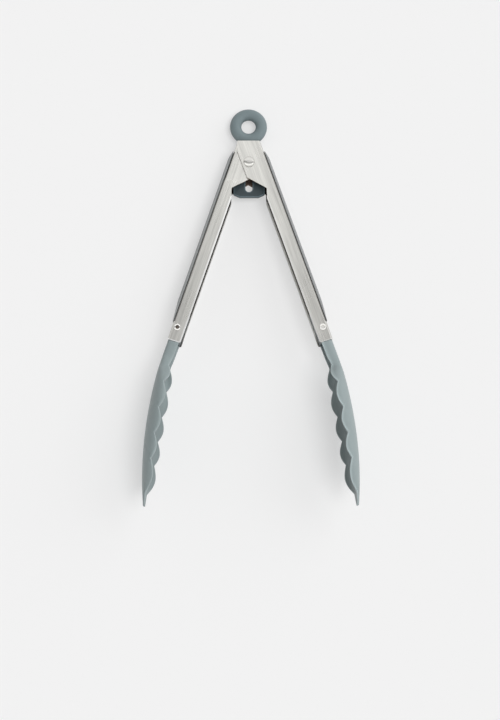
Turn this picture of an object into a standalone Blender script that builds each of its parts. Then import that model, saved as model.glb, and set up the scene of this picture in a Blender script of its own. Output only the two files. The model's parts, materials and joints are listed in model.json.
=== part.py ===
"""Locking kitchen tongs: two sprung steel channel arms with grips, soft scoop heads and a pull-ring lock.

The tongs lie on their side on the plane z = 0, sprung open, heads towards -Y and pull ring towards +Y.
Inside the lying frame the pivot axis is Z, the arms mirror each other in X, and an arm's own frame has
the pivot at its origin, X out of its web and -Y along it to the head.
"""

import math

import bmesh
import bpy
import numpy as np
from mathutils import Matrix, Vector

# Arms
SHEET = 0.0007
CHANNEL_WIDTH = 0.0130
WEB_OFFSET = 0.0104
FREE_EDGE_OFFSET = 0.00265
BEND_RADIUS = 0.0012
ARM_REACH = 0.1150
END_CORNER_RADIUS = 0.0010
OPEN_ANGLE = math.radians(18.8)

# Ears at the hinge end of each arm
EAR_OVERHANG = 0.0043
EAR_TOP = 0.0130
EAR_TOP_HALF_WIDTH = 0.0069
INNER_EAR_TOP_REACH = 0.0050
EAR_SIDE_TOP = 0.0067
CHEVRON_TOP = 0.0102
WINDOW_HALF_WIDTH = 0.0102
WINDOW_SHOULDER = 0.0160
WINDOW_BOTTOM = 0.0221
EAR_CORNER_RADIUS = 0.0009
EAR_LAYER_GAP = 0.0003
STEP_START = 0.0125
STEP_LENGTH = 0.0040

# Pivot rivet, its sleeve and the torsion spring
PIVOT_SHANK_RADIUS = 0.0011
PIVOT_HOLE_CLEARANCE = 0.0003
RIVET_SEAT_GAP = 0.0002
PIVOT_HEAD_RADIUS = 0.0032
PIVOT_HEAD_HEIGHT = 0.0013
PIVOT_TAIL_RADIUS = 0.0030
PIVOT_TAIL_HEIGHT = 0.0010
PIVOT_TAIL_ROUND = 0.0003
SLEEVE_CLEARANCE = 0.00025
SLEEVE_WALL = 0.0004
SLEEVE_END_GAP = 0.0003
WIRE_RADIUS = 0.00037
COIL_PITCH = 0.00120
COIL_CLEARANCE = 0.0005
COIL_END_GAP = 0.0003
COIL_TURNS = 2
CURL_POINTS = 10
LEG_REACH = 0.0145
LEG_WEB_GAP = 0.0003
LEG_BEND_RADIUS = 0.0012
LEG_BEND_POINTS = 4

# Lock tab and pull ring
TAB_THICKNESS = 0.0024
TAB_NECK_HALF_WIDTH = 0.0049
TAB_FOOT_HALF_WIDTH = 0.0092
TAB_END_HALF_WIDTH = 0.0055
TAB_END = 0.0199
TAB_END_CORNER = 0.0016
TAB_SIDE_LOW = 0.0182
TAB_SHOULDER = 0.0120
TAB_SHOULDER_SLOPE = 0.0030
TAB_CORNER_RADIUS = 0.0012
SLOT_CLEARANCE = 0.0003
LOCK_TRAVEL = 0.0145
RING_CENTRE = 0.0238
RING_OUTER_RADIUS = 0.01095
RING_HOLE_RADIUS = 0.0042
RING_THICKNESS = 0.0058
EYE_WALL = 0.0026
EYE_CLEARANCE = 0.0003

# Grips on the outside of the webs
GRIP_START = 0.0034
GRIP_END_INSET = 0.0110
GRIP_THICKNESS = 0.0015
GRIP_SEAT_GAP = 0.0003
GRIP_SIDE_INSET = 0.0010
GRIP_ROUND = 0.0009
GRIP_TAPER = 0.0130
GRIP_TIP_THICKNESS = 0.0003
GRIP_TOP_TAPER = 0.0050
PLUG_COUNT = 3
PLUG_FIRST = 0.0300
PLUG_END_INSET = 0.0140
PLUG_RADIUS = 0.0015
PLUG_HOLE_CLEARANCE = 0.0003
PLUG_BUTTON_RADIUS = 0.0026
PLUG_BUTTON_HEIGHT = 0.0008

# Heads: a stiff core inside a soft scalloped cover
HEAD_LENGTH = 0.0931
HEAD_WIDTH = 0.0410
HEAD_DEPTH = 0.0069
HEAD_BACK_INSET = 0.0002
HEAD_STRAIGHT = 0.0067
HEAD_BACK_RADIUS = 0.2230
HEAD_SEAT_GAP = 0.0003
HEAD_THICKNESS = 0.0026
BUMP_HEIGHT = 0.0022
LEAST_DISH = 0.0002
CORE_THICKNESS = 0.0008
CORE_CLEARANCE = 0.00025
CORE_EDGE_INSET = 0.0017
CORE_TIP_INSET = 0.0105
TANG_LENGTH = 0.0185
TANG_CLEARANCE = 0.0003
TANG_OVERLAP = 0.0030
HEAD_RIVET_INSET = 0.0082
HEAD_RIVET_OFFSET = 0.00725
HEAD_RIVET_RADIUS = 0.0013
HEAD_RIVET_BORE = 0.0008
HEAD_RIVET_FLANGE_RADIUS = 0.0019
HEAD_RIVET_FLANGE = 0.0006
HEAD_RIVET_CLEARANCE = 0.0003

# Shares along the head: place, outer half width, dished depth, wall and squareness of the section
HEAD_PLACE_SHARES = (0, 0.09, 0.15, 0.21, 0.272, 0.35, 0.48, 0.60, 0.73, 0.80, 0.865, 0.92, 0.965, 0.985, 1)
HEAD_WIDTH_SHARES = (
    0.30, 0.31, 0.40, 0.70, 0.89, 0.965, 0.99, 0.985, 0.945, 0.84, 0.65, 0.485, 0.36, 0.27, 0.12,
)
HEAD_DEPTH_SHARES = (0.955, 0.925, 0.84, 0.865, 0.92, 0.97, 1, 0.96, 0.86, 0.75, 0.56, 0.36, 0.25, 0.20, 0.165)
HEAD_WALL_SHARES = (1, 1, 1, 1, 1, 1, 1, 1, 1, 1, 1, 0.85, 0.58, 0.45, 0.36)
HEAD_SQUARE_SHARES = (1, 1, 0.75, 0.35, 0.12, 0.05, 0, 0, 0, 0, 0, 0, 0, 0, 0)
VALLEY_PLACE_SHARES = (0.152, 0.274, 0.431, 0.584, 0.732, 0.925)
SQUAREST_SECTION = 5.0
ROUNDEST_SECTION = 2.2

# Mesh fineness and shared small values
OVERRUN = 0.0030
MERGE_DISTANCE = 0.000001
SMOOTH_ANGLE = math.radians(35)
CORNER_STEPS = 4
BEND_STEPS = 3
ROUND_STEPS = 24
RING_STEPS = 40
RING_SECTION_STEPS = 16
BUMP_STEPS = 6
NECK_STEPS = 5
TIP_STEPS = 5
SECTION_STEPS = 12
CORE_SECTION_STEPS = 12
CORE_STEPS = 16


def clear_scene():
    for obj in list(bpy.data.objects):
        bpy.data.objects.remove(obj, do_unlink=True)


def linear(channel):
    return channel / 12.92 if channel <= 0.04045 else ((channel + 0.055) / 1.055) ** 2.4


def material(name, colour, roughness, metallic):
    made = bpy.data.materials.new(name)
    made.use_nodes = True
    shader = made.node_tree.nodes["Principled BSDF"]
    channels = [int(colour[i : i + 2], 16) / 255 for i in (0, 2, 4)]
    shader.inputs["Base Color"].default_value = (*map(linear, channels), 1)
    shader.inputs["Roughness"].default_value = roughness
    shader.inputs["Metallic"].default_value = metallic
    return made


def empty(name, parent, turn=0.0):
    made = bpy.data.objects.new(name, None)
    made.rotation_euler.z = turn
    made.parent = parent
    bpy.context.scene.collection.objects.link(made)
    return made


def mesh_object(name, bm, parent):
    """An object of the finished bmesh, closed, facing out and shaded smooth up to the sharp edges."""
    bmesh.ops.remove_doubles(bm, verts=bm.verts, dist=MERGE_DISTANCE)
    bmesh.ops.recalc_face_normals(bm, faces=bm.faces)
    mesh = bpy.data.meshes.new(name)
    bm.to_mesh(mesh)
    bm.free()
    mesh.shade_smooth()
    mesh.set_sharp_from_angle(angle=SMOOTH_ANGLE)
    made = bpy.data.objects.new(name, mesh)
    made.parent = parent
    bpy.context.scene.collection.objects.link(made)
    return made


def piece(name, bm, finish, parent):
    made = mesh_object(name, bm, parent)
    made.data.materials.append(finish)
    return made


def combine(obj, operation, name, bm):
    """Cuts the bmesh from the object, or unites it with the object, by a live Boolean."""
    tool = mesh_object(f"{obj.name}_{name}", bm, obj.parent)
    tool.hide_render = True
    tool.display_type = "WIRE"
    modifier = obj.modifiers.new(name, "BOOLEAN")
    modifier.operation = operation
    modifier.object = tool
    modifier.solver = "EXACT"
    return tool


def mirror_for(bm, side):
    """The bmesh of a right-hand piece, turned into its left-hand twin when side is -1."""
    bmesh.ops.scale(bm, verts=bm.verts, vec=(side, 1, 1))
    return bm


def rounded(corners):
    """An outline from (x, y, radius) corners, each radius as an arc of CORNER_STEPS steps."""
    outline = []
    for index, (x, y, radius) in enumerate(corners):
        corner = Vector((x, y))
        if not radius:
            outline.append(corner)
            continue
        before = (Vector(corners[index - 1][:2]) - corner).normalized()
        after = (Vector(corners[(index + 1) % len(corners)][:2]) - corner).normalized()
        half_angle = before.angle(after) / 2
        middle = (before + after).normalized()
        centre = corner + middle * (radius / math.sin(half_angle))
        sweep = math.pi - 2 * half_angle
        start = (corner + before * (radius / math.tan(half_angle))) - centre
        direction = 1 if before.x * after.y < before.y * after.x else -1
        for step in range(CORNER_STEPS + 1):
            turn = Matrix.Rotation(direction * sweep * step / CORNER_STEPS, 2)
            outline.append(centre + turn @ start)
    return outline


def prism(outline, low, high):
    """The outline in X and Y, extruded along Z."""
    bm = bmesh.new()
    face = bm.faces.new([bm.verts.new((x, y, low)) for x, y in outline])
    grown = bmesh.ops.extrude_face_region(bm, geom=[face])["geom"]
    lifted = [item for item in grown if isinstance(item, bmesh.types.BMVert)]
    bmesh.ops.translate(bm, verts=lifted, vec=(0, 0, high - low))
    bmesh.ops.recalc_face_normals(bm, faces=bm.faces)
    return bm


def round_edges(bm, chosen, radius, steps=BEND_STEPS):
    """Rounds the edges whose two ends both satisfy the test."""
    edges = [edge for edge in bm.edges if chosen(*(vert.co for vert in edge.verts))]
    bmesh.ops.bevel(
        bm, geom=edges, offset=radius, segments=steps, profile=0.5, affect="EDGES", material=-1
    )


def turned(profile, steps=ROUND_STEPS, closed=False):
    """The (radius, height) profile spun round Z. A closed profile makes a ring or a tube."""
    bm = bmesh.new()
    verts = [bm.verts.new((radius, 0, height)) for radius, height in profile]
    ends = list(zip(verts, verts[1:]))
    if closed:
        ends.append((verts[-1], verts[0]))
    edges = [bm.edges.new(pair) for pair in ends]
    bmesh.ops.spin(
        bm, geom=verts + edges, cent=(0, 0, 0), axis=(0, 0, 1), angle=2 * math.pi,
        steps=steps, use_merge=True,
    )
    bmesh.ops.remove_doubles(bm, verts=bm.verts, dist=MERGE_DISTANCE)
    return bm


def rod(radius, low, high, x=0.0, y=0.0):
    bm = turned([(0, low), (radius, low), (radius, high), (0, high)])
    bmesh.ops.translate(bm, verts=bm.verts, vec=(x, y, 0))
    return bm


def smooth_value(places, values, place):
    """A value between the given ones, on a curve through them that doesn't overshoot."""
    places = np.asarray(places, float)
    values = np.asarray(values, float)
    slopes = np.diff(values) / np.diff(places)
    tangents = np.zeros(len(values))
    for i in range(1, len(values) - 1):
        if slopes[i - 1] * slopes[i] > 0:
            tangents[i] = 2 * slopes[i - 1] * slopes[i] / (slopes[i - 1] + slopes[i])
    tangents[0], tangents[-1] = slopes[0], slopes[-1]
    i = int(np.clip(np.searchsorted(places, place) - 1, 0, len(slopes) - 1))
    span = places[i + 1] - places[i]
    t = (place - places[i]) / span
    return float(
        values[i] * (1 + 2 * t) * (1 - t) ** 2
        + values[i + 1] * t * t * (3 - 2 * t)
        + tangents[i] * span * t * (1 - t) ** 2
        - tangents[i + 1] * span * t * t * (1 - t)
    )


def in_arm_frame(x, y):
    """A point of the open tongs, right of the middle, in the right arm's own frame."""
    return (Matrix.Rotation(-OPEN_ANGLE, 2) @ Vector((x, y)))[:]


def ear_outline(top_reach):
    """The flange of an arm seen from the side, in the arm's own frame, ear at the top."""
    side_top = in_arm_frame(-EAR_TOP_HALF_WIDTH, EAR_SIDE_TOP)
    top_left = in_arm_frame(-top_reach, EAR_TOP)
    top_right = in_arm_frame(EAR_TOP_HALF_WIDTH, EAR_TOP)
    chevron_top = in_arm_frame(0, -CHEVRON_TOP)
    shoulder = in_arm_frame(WINDOW_HALF_WIDTH, -WINDOW_SHOULDER)
    window_end = in_arm_frame(WINDOW_HALF_WIDTH, -WINDOW_BOTTOM)
    chevron_slope = (chevron_top[1] - shoulder[1]) / (chevron_top[0] - shoulder[0])
    top_slope = (top_right[1] - top_left[1]) / (top_right[0] - top_left[0])
    return rounded([
        (-EAR_OVERHANG, side_top[1], EAR_CORNER_RADIUS),
        (-EAR_OVERHANG, shoulder[1] + chevron_slope * (-EAR_OVERHANG - shoulder[0]), EAR_CORNER_RADIUS),
        (*shoulder, EAR_CORNER_RADIUS),
        (FREE_EDGE_OFFSET, min(window_end[1], shoulder[1] - EAR_CORNER_RADIUS), EAR_CORNER_RADIUS),
        (FREE_EDGE_OFFSET, -ARM_REACH, END_CORNER_RADIUS),
        (WEB_OFFSET, -ARM_REACH, 0),
        (WEB_OFFSET, top_left[1] + top_slope * (WEB_OFFSET - top_left[0]), 0),
        (*top_left, EAR_CORNER_RADIUS),
    ])


def step_ears(bm, amount):
    """Brings the ear end of a channel in towards the middle plane, over a short sloped length."""
    for height in (-STEP_START, -STEP_START - STEP_LENGTH):
        everything = bm.verts[:] + bm.edges[:] + bm.faces[:]
        bmesh.ops.bisect_plane(
            bm, geom=everything, dist=MERGE_DISTANCE, plane_co=(0, height, 0), plane_no=(0, 1, 0)
        )
    for vert in bm.verts:
        if vert.co.y > -STEP_START - MERGE_DISTANCE:
            vert.co.z -= math.copysign(amount, vert.co.z)


def ear_step():
    return SHEET + EAR_LAYER_GAP


def ear_inside():
    """Half the clear width between the inner pair of ears."""
    return CHANNEL_WIDTH / 2 - SHEET - ear_step()


def head_rivet_height():
    """Height of the rivet that holds the head, in the arm's own frame."""
    return HEAD_RIVET_INSET - ARM_REACH


def grip_end():
    """Height of a grip's lower end, in the arm's own frame."""
    return GRIP_END_INSET - ARM_REACH


def plug_places():
    """Heights of a grip's plugs, spread evenly between the two that are nearest its ends."""
    return np.linspace(-PLUG_FIRST, grip_end() + PLUG_END_INSET, PLUG_COUNT).tolist()


def across_web(bm, y):
    """Turns a piece made along Z to lie along X, through the web at the height y."""
    bmesh.ops.rotate(bm, verts=bm.verts, cent=(0, 0, 0), matrix=Matrix.Rotation(math.pi / 2, 3, "Y"))
    bmesh.ops.translate(bm, verts=bm.verts, vec=(0, y, 0))
    return bm


def arm(name, side, stepped, finish, parent):
    """A folded sheet channel with its ears, pivot hole, rivet hole and holes for the grip's plugs."""
    half = CHANNEL_WIDTH / 2
    top_reach = INNER_EAR_TOP_REACH if stepped else EAR_TOP_HALF_WIDTH
    body = prism(ear_outline(top_reach), -half, half)
    on_web = WEB_OFFSET - MERGE_DISTANCE
    round_edges(body, lambda a, b: min(a.x, b.x) > on_web and abs(a.z - b.z) < MERGE_DISTANCE
                and abs(a.y - b.y) > ARM_REACH / 2, BEND_RADIUS)
    inner_radius = BEND_RADIUS - SHEET
    inner_face = WEB_OFFSET - SHEET
    trough = prism(
        [(-EAR_OVERHANG - OVERRUN, -ARM_REACH - OVERRUN), (inner_face, -ARM_REACH - OVERRUN),
         (inner_face, EAR_TOP + OVERRUN), (-EAR_OVERHANG - OVERRUN, EAR_TOP + OVERRUN)],
        SHEET - half, half - SHEET,
    )
    round_edges(trough, lambda a, b: min(a.x, b.x) > inner_face - MERGE_DISTANCE
                and abs(a.z - b.z) < MERGE_DISTANCE, inner_radius)
    if stepped:
        step_ears(body, ear_step())
        step_ears(trough, ear_step())
    made = piece(name, mirror_for(body, side), finish, parent)
    combine(made, "DIFFERENCE", "trough", mirror_for(trough, side))
    reach = half + OVERRUN
    pivot_hole = rod(PIVOT_SHANK_RADIUS + PIVOT_HOLE_CLEARANCE, -reach, reach)
    combine(made, "DIFFERENCE", "pivot_hole", pivot_hole)
    rivet_hole = rod(
        HEAD_RIVET_RADIUS + HEAD_RIVET_CLEARANCE, -reach, reach, HEAD_RIVET_OFFSET, head_rivet_height()
    )
    combine(made, "DIFFERENCE", "rivet_hole", mirror_for(rivet_hole, side))
    for number, y in enumerate(plug_places(), 1):
        hole = across_web(rod(PLUG_RADIUS + PLUG_HOLE_CLEARANCE, inner_face - OVERRUN, WEB_OFFSET + OVERRUN), y)
        combine(made, "DIFFERENCE", f"plug_hole_{number}", mirror_for(hole, side))
    return made


def pivot_rivet(finish, parent):
    """A domed head over the near ears, a shank through everything and a flat formed tail below."""
    seat = CHANNEL_WIDTH / 2 + RIVET_SEAT_GAP
    tail = -seat - PIVOT_TAIL_HEIGHT
    dome_radius = (PIVOT_HEAD_RADIUS**2 + PIVOT_HEAD_HEIGHT**2) / (2 * PIVOT_HEAD_HEIGHT)
    dome = []
    for step in range(CORNER_STEPS + 1):
        radius = PIVOT_HEAD_RADIUS * (1 - step / CORNER_STEPS)
        height = math.sqrt(dome_radius**2 - radius**2) - (dome_radius - PIVOT_HEAD_HEIGHT)
        dome.append((radius, seat + height))
    profile = [
        (0, tail),
        (PIVOT_TAIL_RADIUS - PIVOT_TAIL_ROUND, tail),
        (PIVOT_TAIL_RADIUS, tail + PIVOT_TAIL_ROUND),
        (PIVOT_TAIL_RADIUS, -seat),
        (PIVOT_SHANK_RADIUS, -seat),
        (PIVOT_SHANK_RADIUS, seat),
        *dome,
    ]
    return piece("pivot_rivet", turned(profile), finish, parent)


def sleeve_inner_radius():
    return PIVOT_SHANK_RADIUS + SLEEVE_CLEARANCE


def sleeve_outer_radius():
    return sleeve_inner_radius() + SLEEVE_WALL


def pivot_sleeve(finish, parent):
    """The tube on the rivet's shank that spaces the ears and that the lock tab's slot slides on."""
    half = ear_inside() - SLEEVE_END_GAP
    inner, outer = sleeve_inner_radius(), sleeve_outer_radius()
    profile = [(inner, -half), (outer, -half), (outer, half), (inner, half)]
    return piece("pivot_sleeve", turned(profile, closed=True), finish, parent)


def spring_points():
    """The wire's middle line: left leg, near coil, leg and bar at the right web, then all of it mirrored."""
    radius = sleeve_outer_radius() + COIL_CLEARANCE + WIRE_RADIUS
    top = ear_inside() - COIL_END_GAP - WIRE_RADIUS
    leg_offset = WEB_OFFSET - SHEET - LEG_WEB_GAP - WIRE_RADIUS
    leg_end = Matrix.Rotation(OPEN_ANGLE, 2) @ Vector((leg_offset, -LEG_REACH))
    reach = leg_end.length
    tangent = math.acos(radius / reach)
    right = math.atan2(leg_end.y, leg_end.x)
    left = -math.pi - right
    start = left + tangent
    finish = right - tangent + 2 * math.pi * COIL_TURNS
    turns = (finish - start) / (2 * math.pi)
    count = math.ceil(turns * CURL_POINTS)
    points = [Vector((-leg_end.x, leg_end.y, top))]
    for index in range(count + 1):
        share = index / count
        angle = start + (finish - start) * share
        height = top - COIL_PITCH * turns * share
        points.append(Vector((radius * math.cos(angle), radius * math.sin(angle), height)))
    low = points[-1].z
    outward = leg_end.normalized()
    for step in range(LEG_BEND_POINTS + 1):
        angle = math.pi / 2 * step / LEG_BEND_POINTS
        along = leg_end - outward * LEG_BEND_RADIUS * (1 - math.sin(angle))
        points.append(Vector((*along, low - LEG_BEND_RADIUS * (1 - math.cos(angle)))))
    mirrored = [Vector((point.x, point.y, -point.z)) for point in reversed(points)]
    return points + mirrored


def least_gap(points, diameter):
    """The least gap between two stretches of the wire that lie more than a few diameters apart along it."""
    lengths = [0.0]
    for a, b in zip(points, points[1:]):
        lengths.append(lengths[-1] + (b - a).length)
    samples = []
    for (a, b), start in zip(zip(points, points[1:]), lengths):
        steps = max(1, round((b - a).length / diameter * 2))
        samples += [(start + (b - a).length * i / steps, a.lerp(b, i / steps)) for i in range(steps)]
    places = np.array([place for place, _ in samples])
    spots = np.array([spot[:] for _, spot in samples])
    distances = np.linalg.norm(spots[:, None] - spots[None, :], axis=2)
    apart = np.abs(places[:, None] - places[None, :]) > 4 * diameter
    return float(distances[apart].min() - diameter)


def wire(name, points, radius, finish, parent):
    """One unbroken round wire along the points, with closed ends."""
    curve = bpy.data.curves.new(name, "CURVE")
    curve.dimensions = "3D"
    curve.bevel_depth = radius
    curve.bevel_resolution = 1
    curve.use_fill_caps = True
    spline = curve.splines.new("POLY")
    spline.points.add(len(points) - 1)
    for target, point in zip(spline.points, points):
        target.co = (*point, 1)
    curve.materials.append(finish)
    made = bpy.data.objects.new(name, curve)
    made.parent = parent
    bpy.context.scene.collection.objects.link(made)
    return made


def torsion_spring(finish, parent):
    points = spring_points()
    gap = least_gap(points, 2 * WIRE_RADIUS)
    print(f"torsion_spring: least gap to itself {gap * 1000:.2f} mm")
    return wire("torsion_spring", points, WIRE_RADIUS, finish, parent)


def slot_half_width():
    return sleeve_outer_radius() + SLOT_CLEARANCE


def eye_radii():
    """Inner and outer radius of the tab's eye, in the middle of the pull ring's soft cover."""
    middle = (RING_HOLE_RADIUS + RING_OUTER_RADIUS) / 2
    return middle - EYE_WALL / 2, middle + EYE_WALL / 2


def neck(half_width, low, half_thickness):
    """The straight part of the tab that runs into the eye, or the slot for it in the cover."""
    inner, outer = eye_radii()
    top = RING_CENTRE - (inner + outer) / 2
    outline = [(-half_width, low), (half_width, low), (half_width, top), (-half_width, top)]
    return prism(outline, -half_thickness, half_thickness)


def eye(clearance):
    """The flat ring in the middle of the pull ring."""
    inner, outer = eye_radii()
    half = TAB_THICKNESS / 2 + clearance
    bm = turned(
        [(inner - clearance, -half), (outer + clearance, -half),
         (outer + clearance, half), (inner - clearance, half)],
        RING_STEPS, closed=True,
    )
    bmesh.ops.translate(bm, verts=bm.verts, vec=(0, RING_CENTRE, 0))
    return bm


def lock_tab(finish, parent):
    """The stiff sliding tab: a wide slotted foot between the arms, a neck and the pull ring's eye."""
    inner, outer = eye_radii()
    neck_top = RING_CENTRE - (inner + outer) / 2
    right_side = [
        (TAB_NECK_HALF_WIDTH, neck_top, 0),
        (TAB_NECK_HALF_WIDTH, TAB_SHOULDER_SLOPE - TAB_SHOULDER, TAB_CORNER_RADIUS),
        (TAB_FOOT_HALF_WIDTH, -TAB_SHOULDER, TAB_CORNER_RADIUS),
        (TAB_FOOT_HALF_WIDTH, -TAB_SIDE_LOW, TAB_CORNER_RADIUS),
        (TAB_END_HALF_WIDTH, -TAB_END, TAB_END_CORNER),
    ]
    left_side = [(-x, y, radius) for x, y, radius in reversed(right_side)]
    half = TAB_THICKNESS / 2
    made = piece("lock_tab", prism(rounded(right_side + left_side), -half, half), finish, parent)
    combine(made, "UNION", "eye", eye(0))
    width = slot_half_width()
    slot = rounded([
        (-width, width, width),
        (width, width, width),
        (width, -LOCK_TRAVEL - width, width),
        (-width, -LOCK_TRAVEL - width, width),
    ])
    combine(made, "DIFFERENCE", "slot", prism(slot, -half - OVERRUN, half + OVERRUN))
    return made


def ring_cover(finish, parent):
    """The soft rounded ring moulded over the eye, with a slot below for the tab's neck."""
    middle = (RING_HOLE_RADIUS + RING_OUTER_RADIUS) / 2
    half_width = (RING_OUTER_RADIUS - RING_HOLE_RADIUS) / 2
    half_height = RING_THICKNESS / 2
    profile = []
    for step in range(RING_SECTION_STEPS):
        angle = 2 * math.pi * step / RING_SECTION_STEPS
        profile.append((middle + half_width * math.cos(angle), half_height * math.sin(angle)))
    bm = turned(profile, RING_STEPS, closed=True)
    bmesh.ops.translate(bm, verts=bm.verts, vec=(0, RING_CENTRE, 0))
    made = piece("ring_cover", bm, finish, parent)
    half = TAB_THICKNESS / 2 + EYE_CLEARANCE
    combine(made, "DIFFERENCE", "eye_room", eye(EYE_CLEARANCE))
    low = RING_CENTRE - RING_OUTER_RADIUS - OVERRUN
    combine(made, "DIFFERENCE", "neck_room", neck(TAB_NECK_HALF_WIDTH + EYE_CLEARANCE, low, half))
    return made


def grip(name, side, finish, parent):
    """A soft pad on the outside of the web, held by plugs that end in buttons inside the channel."""
    seat = WEB_OFFSET + GRIP_SEAT_GAP
    outer = seat + GRIP_THICKNESS
    tip = seat + GRIP_TIP_THICKNESS
    half = CHANNEL_WIDTH / 2 - GRIP_SIDE_INSET
    end = grip_end()
    outline = [
        (seat, GRIP_START),
        (seat, end),
        (tip, end),
        (outer, end + GRIP_TAPER),
        (outer, GRIP_START - GRIP_TOP_TAPER),
        (tip, GRIP_START),
    ]
    pad = prism(outline, -half, half)
    round_edges(pad, lambda a, b: min(a.x, b.x) > outer - MERGE_DISTANCE
                and abs(a.z - b.z) < MERGE_DISTANCE, min(GRIP_ROUND, GRIP_THICKNESS - GRIP_TIP_THICKNESS))
    made = piece(name, mirror_for(pad, side), finish, parent)
    inner_face = WEB_OFFSET - SHEET - GRIP_SEAT_GAP
    overlap = GRIP_THICKNESS / 2
    profile = [
        (0, inner_face - PLUG_BUTTON_HEIGHT),
        (PLUG_BUTTON_RADIUS, inner_face - PLUG_BUTTON_HEIGHT),
        (PLUG_BUTTON_RADIUS, inner_face),
        (PLUG_RADIUS, inner_face),
        (PLUG_RADIUS, seat + overlap),
        (0, seat + overlap),
    ]
    for number, y in enumerate(plug_places(), 1):
        plug = across_web(turned(profile, ROUND_STEPS // 2), y)
        combine(made, "UNION", f"plug_{number}", mirror_for(plug, side))
    return made


def head_back(place):
    """Distance of the head's outer back from the pivot line, at a distance along the arm."""
    start = ARM_REACH + HEAD_STRAIGHT
    along = max(0.0, place - start)
    drop = HEAD_BACK_RADIUS - math.sqrt(HEAD_BACK_RADIUS**2 - along**2)
    return WEB_OFFSET - HEAD_BACK_INSET - drop


def head_arc(back, full_depth, rim_depth, width, exponent, steps):
    """(distance from the pivot line, height) of points on a superellipse, from rim to rim over the back."""
    trim = (1 - min(rim_depth / full_depth, 1)) ** (exponent / 2)
    rim_angle = math.acos(trim)
    points = []
    for step in range(steps + 1):
        angle = rim_angle * (2 * step / steps - 1)
        across = math.copysign(abs(math.sin(angle)) ** (2 / exponent), angle)
        inward = 1 - math.cos(angle) ** (2 / exponent)
        points.append((back - full_depth * inward, width * across))
    return points


def head_section(share, inset, wall, edge_inset, bumps, steps):
    """One closed section of the head's wall: the outer arc, then the inner arc back."""
    along = max(share, 0)
    wall *= smooth_value(HEAD_PLACE_SHARES, HEAD_WALL_SHARES, along)
    back = head_back(ARM_REACH + HEAD_SEAT_GAP + share * HEAD_LENGTH) - inset
    width = HEAD_WIDTH / 2 * smooth_value(HEAD_PLACE_SHARES, HEAD_WIDTH_SHARES, along) - inset
    square = smooth_value(HEAD_PLACE_SHARES, HEAD_SQUARE_SHARES, along)
    exponent = ROUNDEST_SECTION + (SQUAREST_SECTION - ROUNDEST_SECTION) * square
    valley_depth = HEAD_DEPTH * smooth_value(HEAD_PLACE_SHARES, HEAD_DEPTH_SHARES, along)
    full_depth = valley_depth + BUMP_HEIGHT - inset
    rim_depth = valley_depth - edge_inset - inset
    if bumps:
        for low, high in zip(VALLEY_PLACE_SHARES, VALLEY_PLACE_SHARES[1:]):
            if low < share < high:
                rim_depth += BUMP_HEIGHT * math.sin(math.pi * (share - low) / (high - low))
    rim_depth = max(rim_depth, wall + LEAST_DISH)
    outer = head_arc(back, full_depth, rim_depth, width, exponent, steps)
    inner = head_arc(back - wall, full_depth - wall, rim_depth - wall, width - wall, exponent, steps)
    return outer + inner[::-1]


def head_loft(shares, inset, wall, edge_inset, bumps, steps):
    """The closed sections at these shares of the head's length, joined into one body."""
    bm = bmesh.new()
    loops = []
    for share in shares:
        place = ARM_REACH + HEAD_SEAT_GAP + share * HEAD_LENGTH
        section = head_section(share, inset, wall, edge_inset, bumps, steps)
        loops.append([bm.verts.new((x, -place, z)) for x, z in section])
    for loop, following in zip(loops, loops[1:]):
        for index in range(len(loop)):
            bm.faces.new((loop[index - 1], loop[index], following[index], following[index - 1]))
    for loop in (loops[0], loops[-1]):
        for index in range(steps):
            bm.faces.new((loop[index], loop[index + 1], loop[-index - 2], loop[-index - 1]))
    return bm


def cover_shares():
    """Stations along the cover: the neck, each bump and the tip."""
    shares = list(np.linspace(0, VALLEY_PLACE_SHARES[0], NECK_STEPS, endpoint=False))
    for low, high in zip(VALLEY_PLACE_SHARES, VALLEY_PLACE_SHARES[1:]):
        shares += list(np.linspace(low, high, BUMP_STEPS, endpoint=False))
    return shares + list(np.linspace(VALLEY_PLACE_SHARES[-1], 1, TIP_STEPS))


def core_shares(clearance):
    start = -(HEAD_SEAT_GAP + TANG_OVERLAP) / HEAD_LENGTH
    end = 1 - (CORE_TIP_INSET - clearance) / HEAD_LENGTH
    return np.linspace(start, end, CORE_STEPS)


def head(side_name, side, core_finish, cover_finish, parent):
    """The stiff core with its tang in the channel, and the soft cover drawn over the core."""
    skin = (HEAD_THICKNESS - CORE_THICKNESS) / 2
    room_wall = CORE_THICKNESS + 2 * CORE_CLEARANCE
    cover_mesh = head_loft(cover_shares(), 0, HEAD_THICKNESS, 0, True, SECTION_STEPS)
    cover = piece(f"{side_name}_head_cover", mirror_for(cover_mesh, side), cover_finish, parent)
    room = head_loft(
        core_shares(CORE_CLEARANCE), skin - CORE_CLEARANCE, room_wall,
        CORE_EDGE_INSET - CORE_CLEARANCE, False, CORE_SECTION_STEPS,
    )
    combine(cover, "DIFFERENCE", "core_room", mirror_for(room, side))

    core_mesh = head_loft(core_shares(0), skin, CORE_THICKNESS, CORE_EDGE_INSET, False, CORE_SECTION_STEPS)
    core = piece(f"{side_name}_head_core", mirror_for(core_mesh, side), core_finish, parent)
    back = WEB_OFFSET - SHEET - TANG_CLEARANCE
    front = FREE_EDGE_OFFSET + SHEET
    half = CHANNEL_WIDTH / 2 - SHEET - TANG_CLEARANCE
    top = TANG_LENGTH - ARM_REACH
    tang = prism([(front, -ARM_REACH), (back, -ARM_REACH), (back, top), (front, top)], -half, half)
    combine(core, "UNION", "tang", mirror_for(tang, side))
    reach = half + OVERRUN
    bore = rod(
        HEAD_RIVET_RADIUS + HEAD_RIVET_CLEARANCE, -reach, reach, HEAD_RIVET_OFFSET, head_rivet_height()
    )
    combine(core, "DIFFERENCE", "rivet_bore", mirror_for(bore, side))


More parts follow.
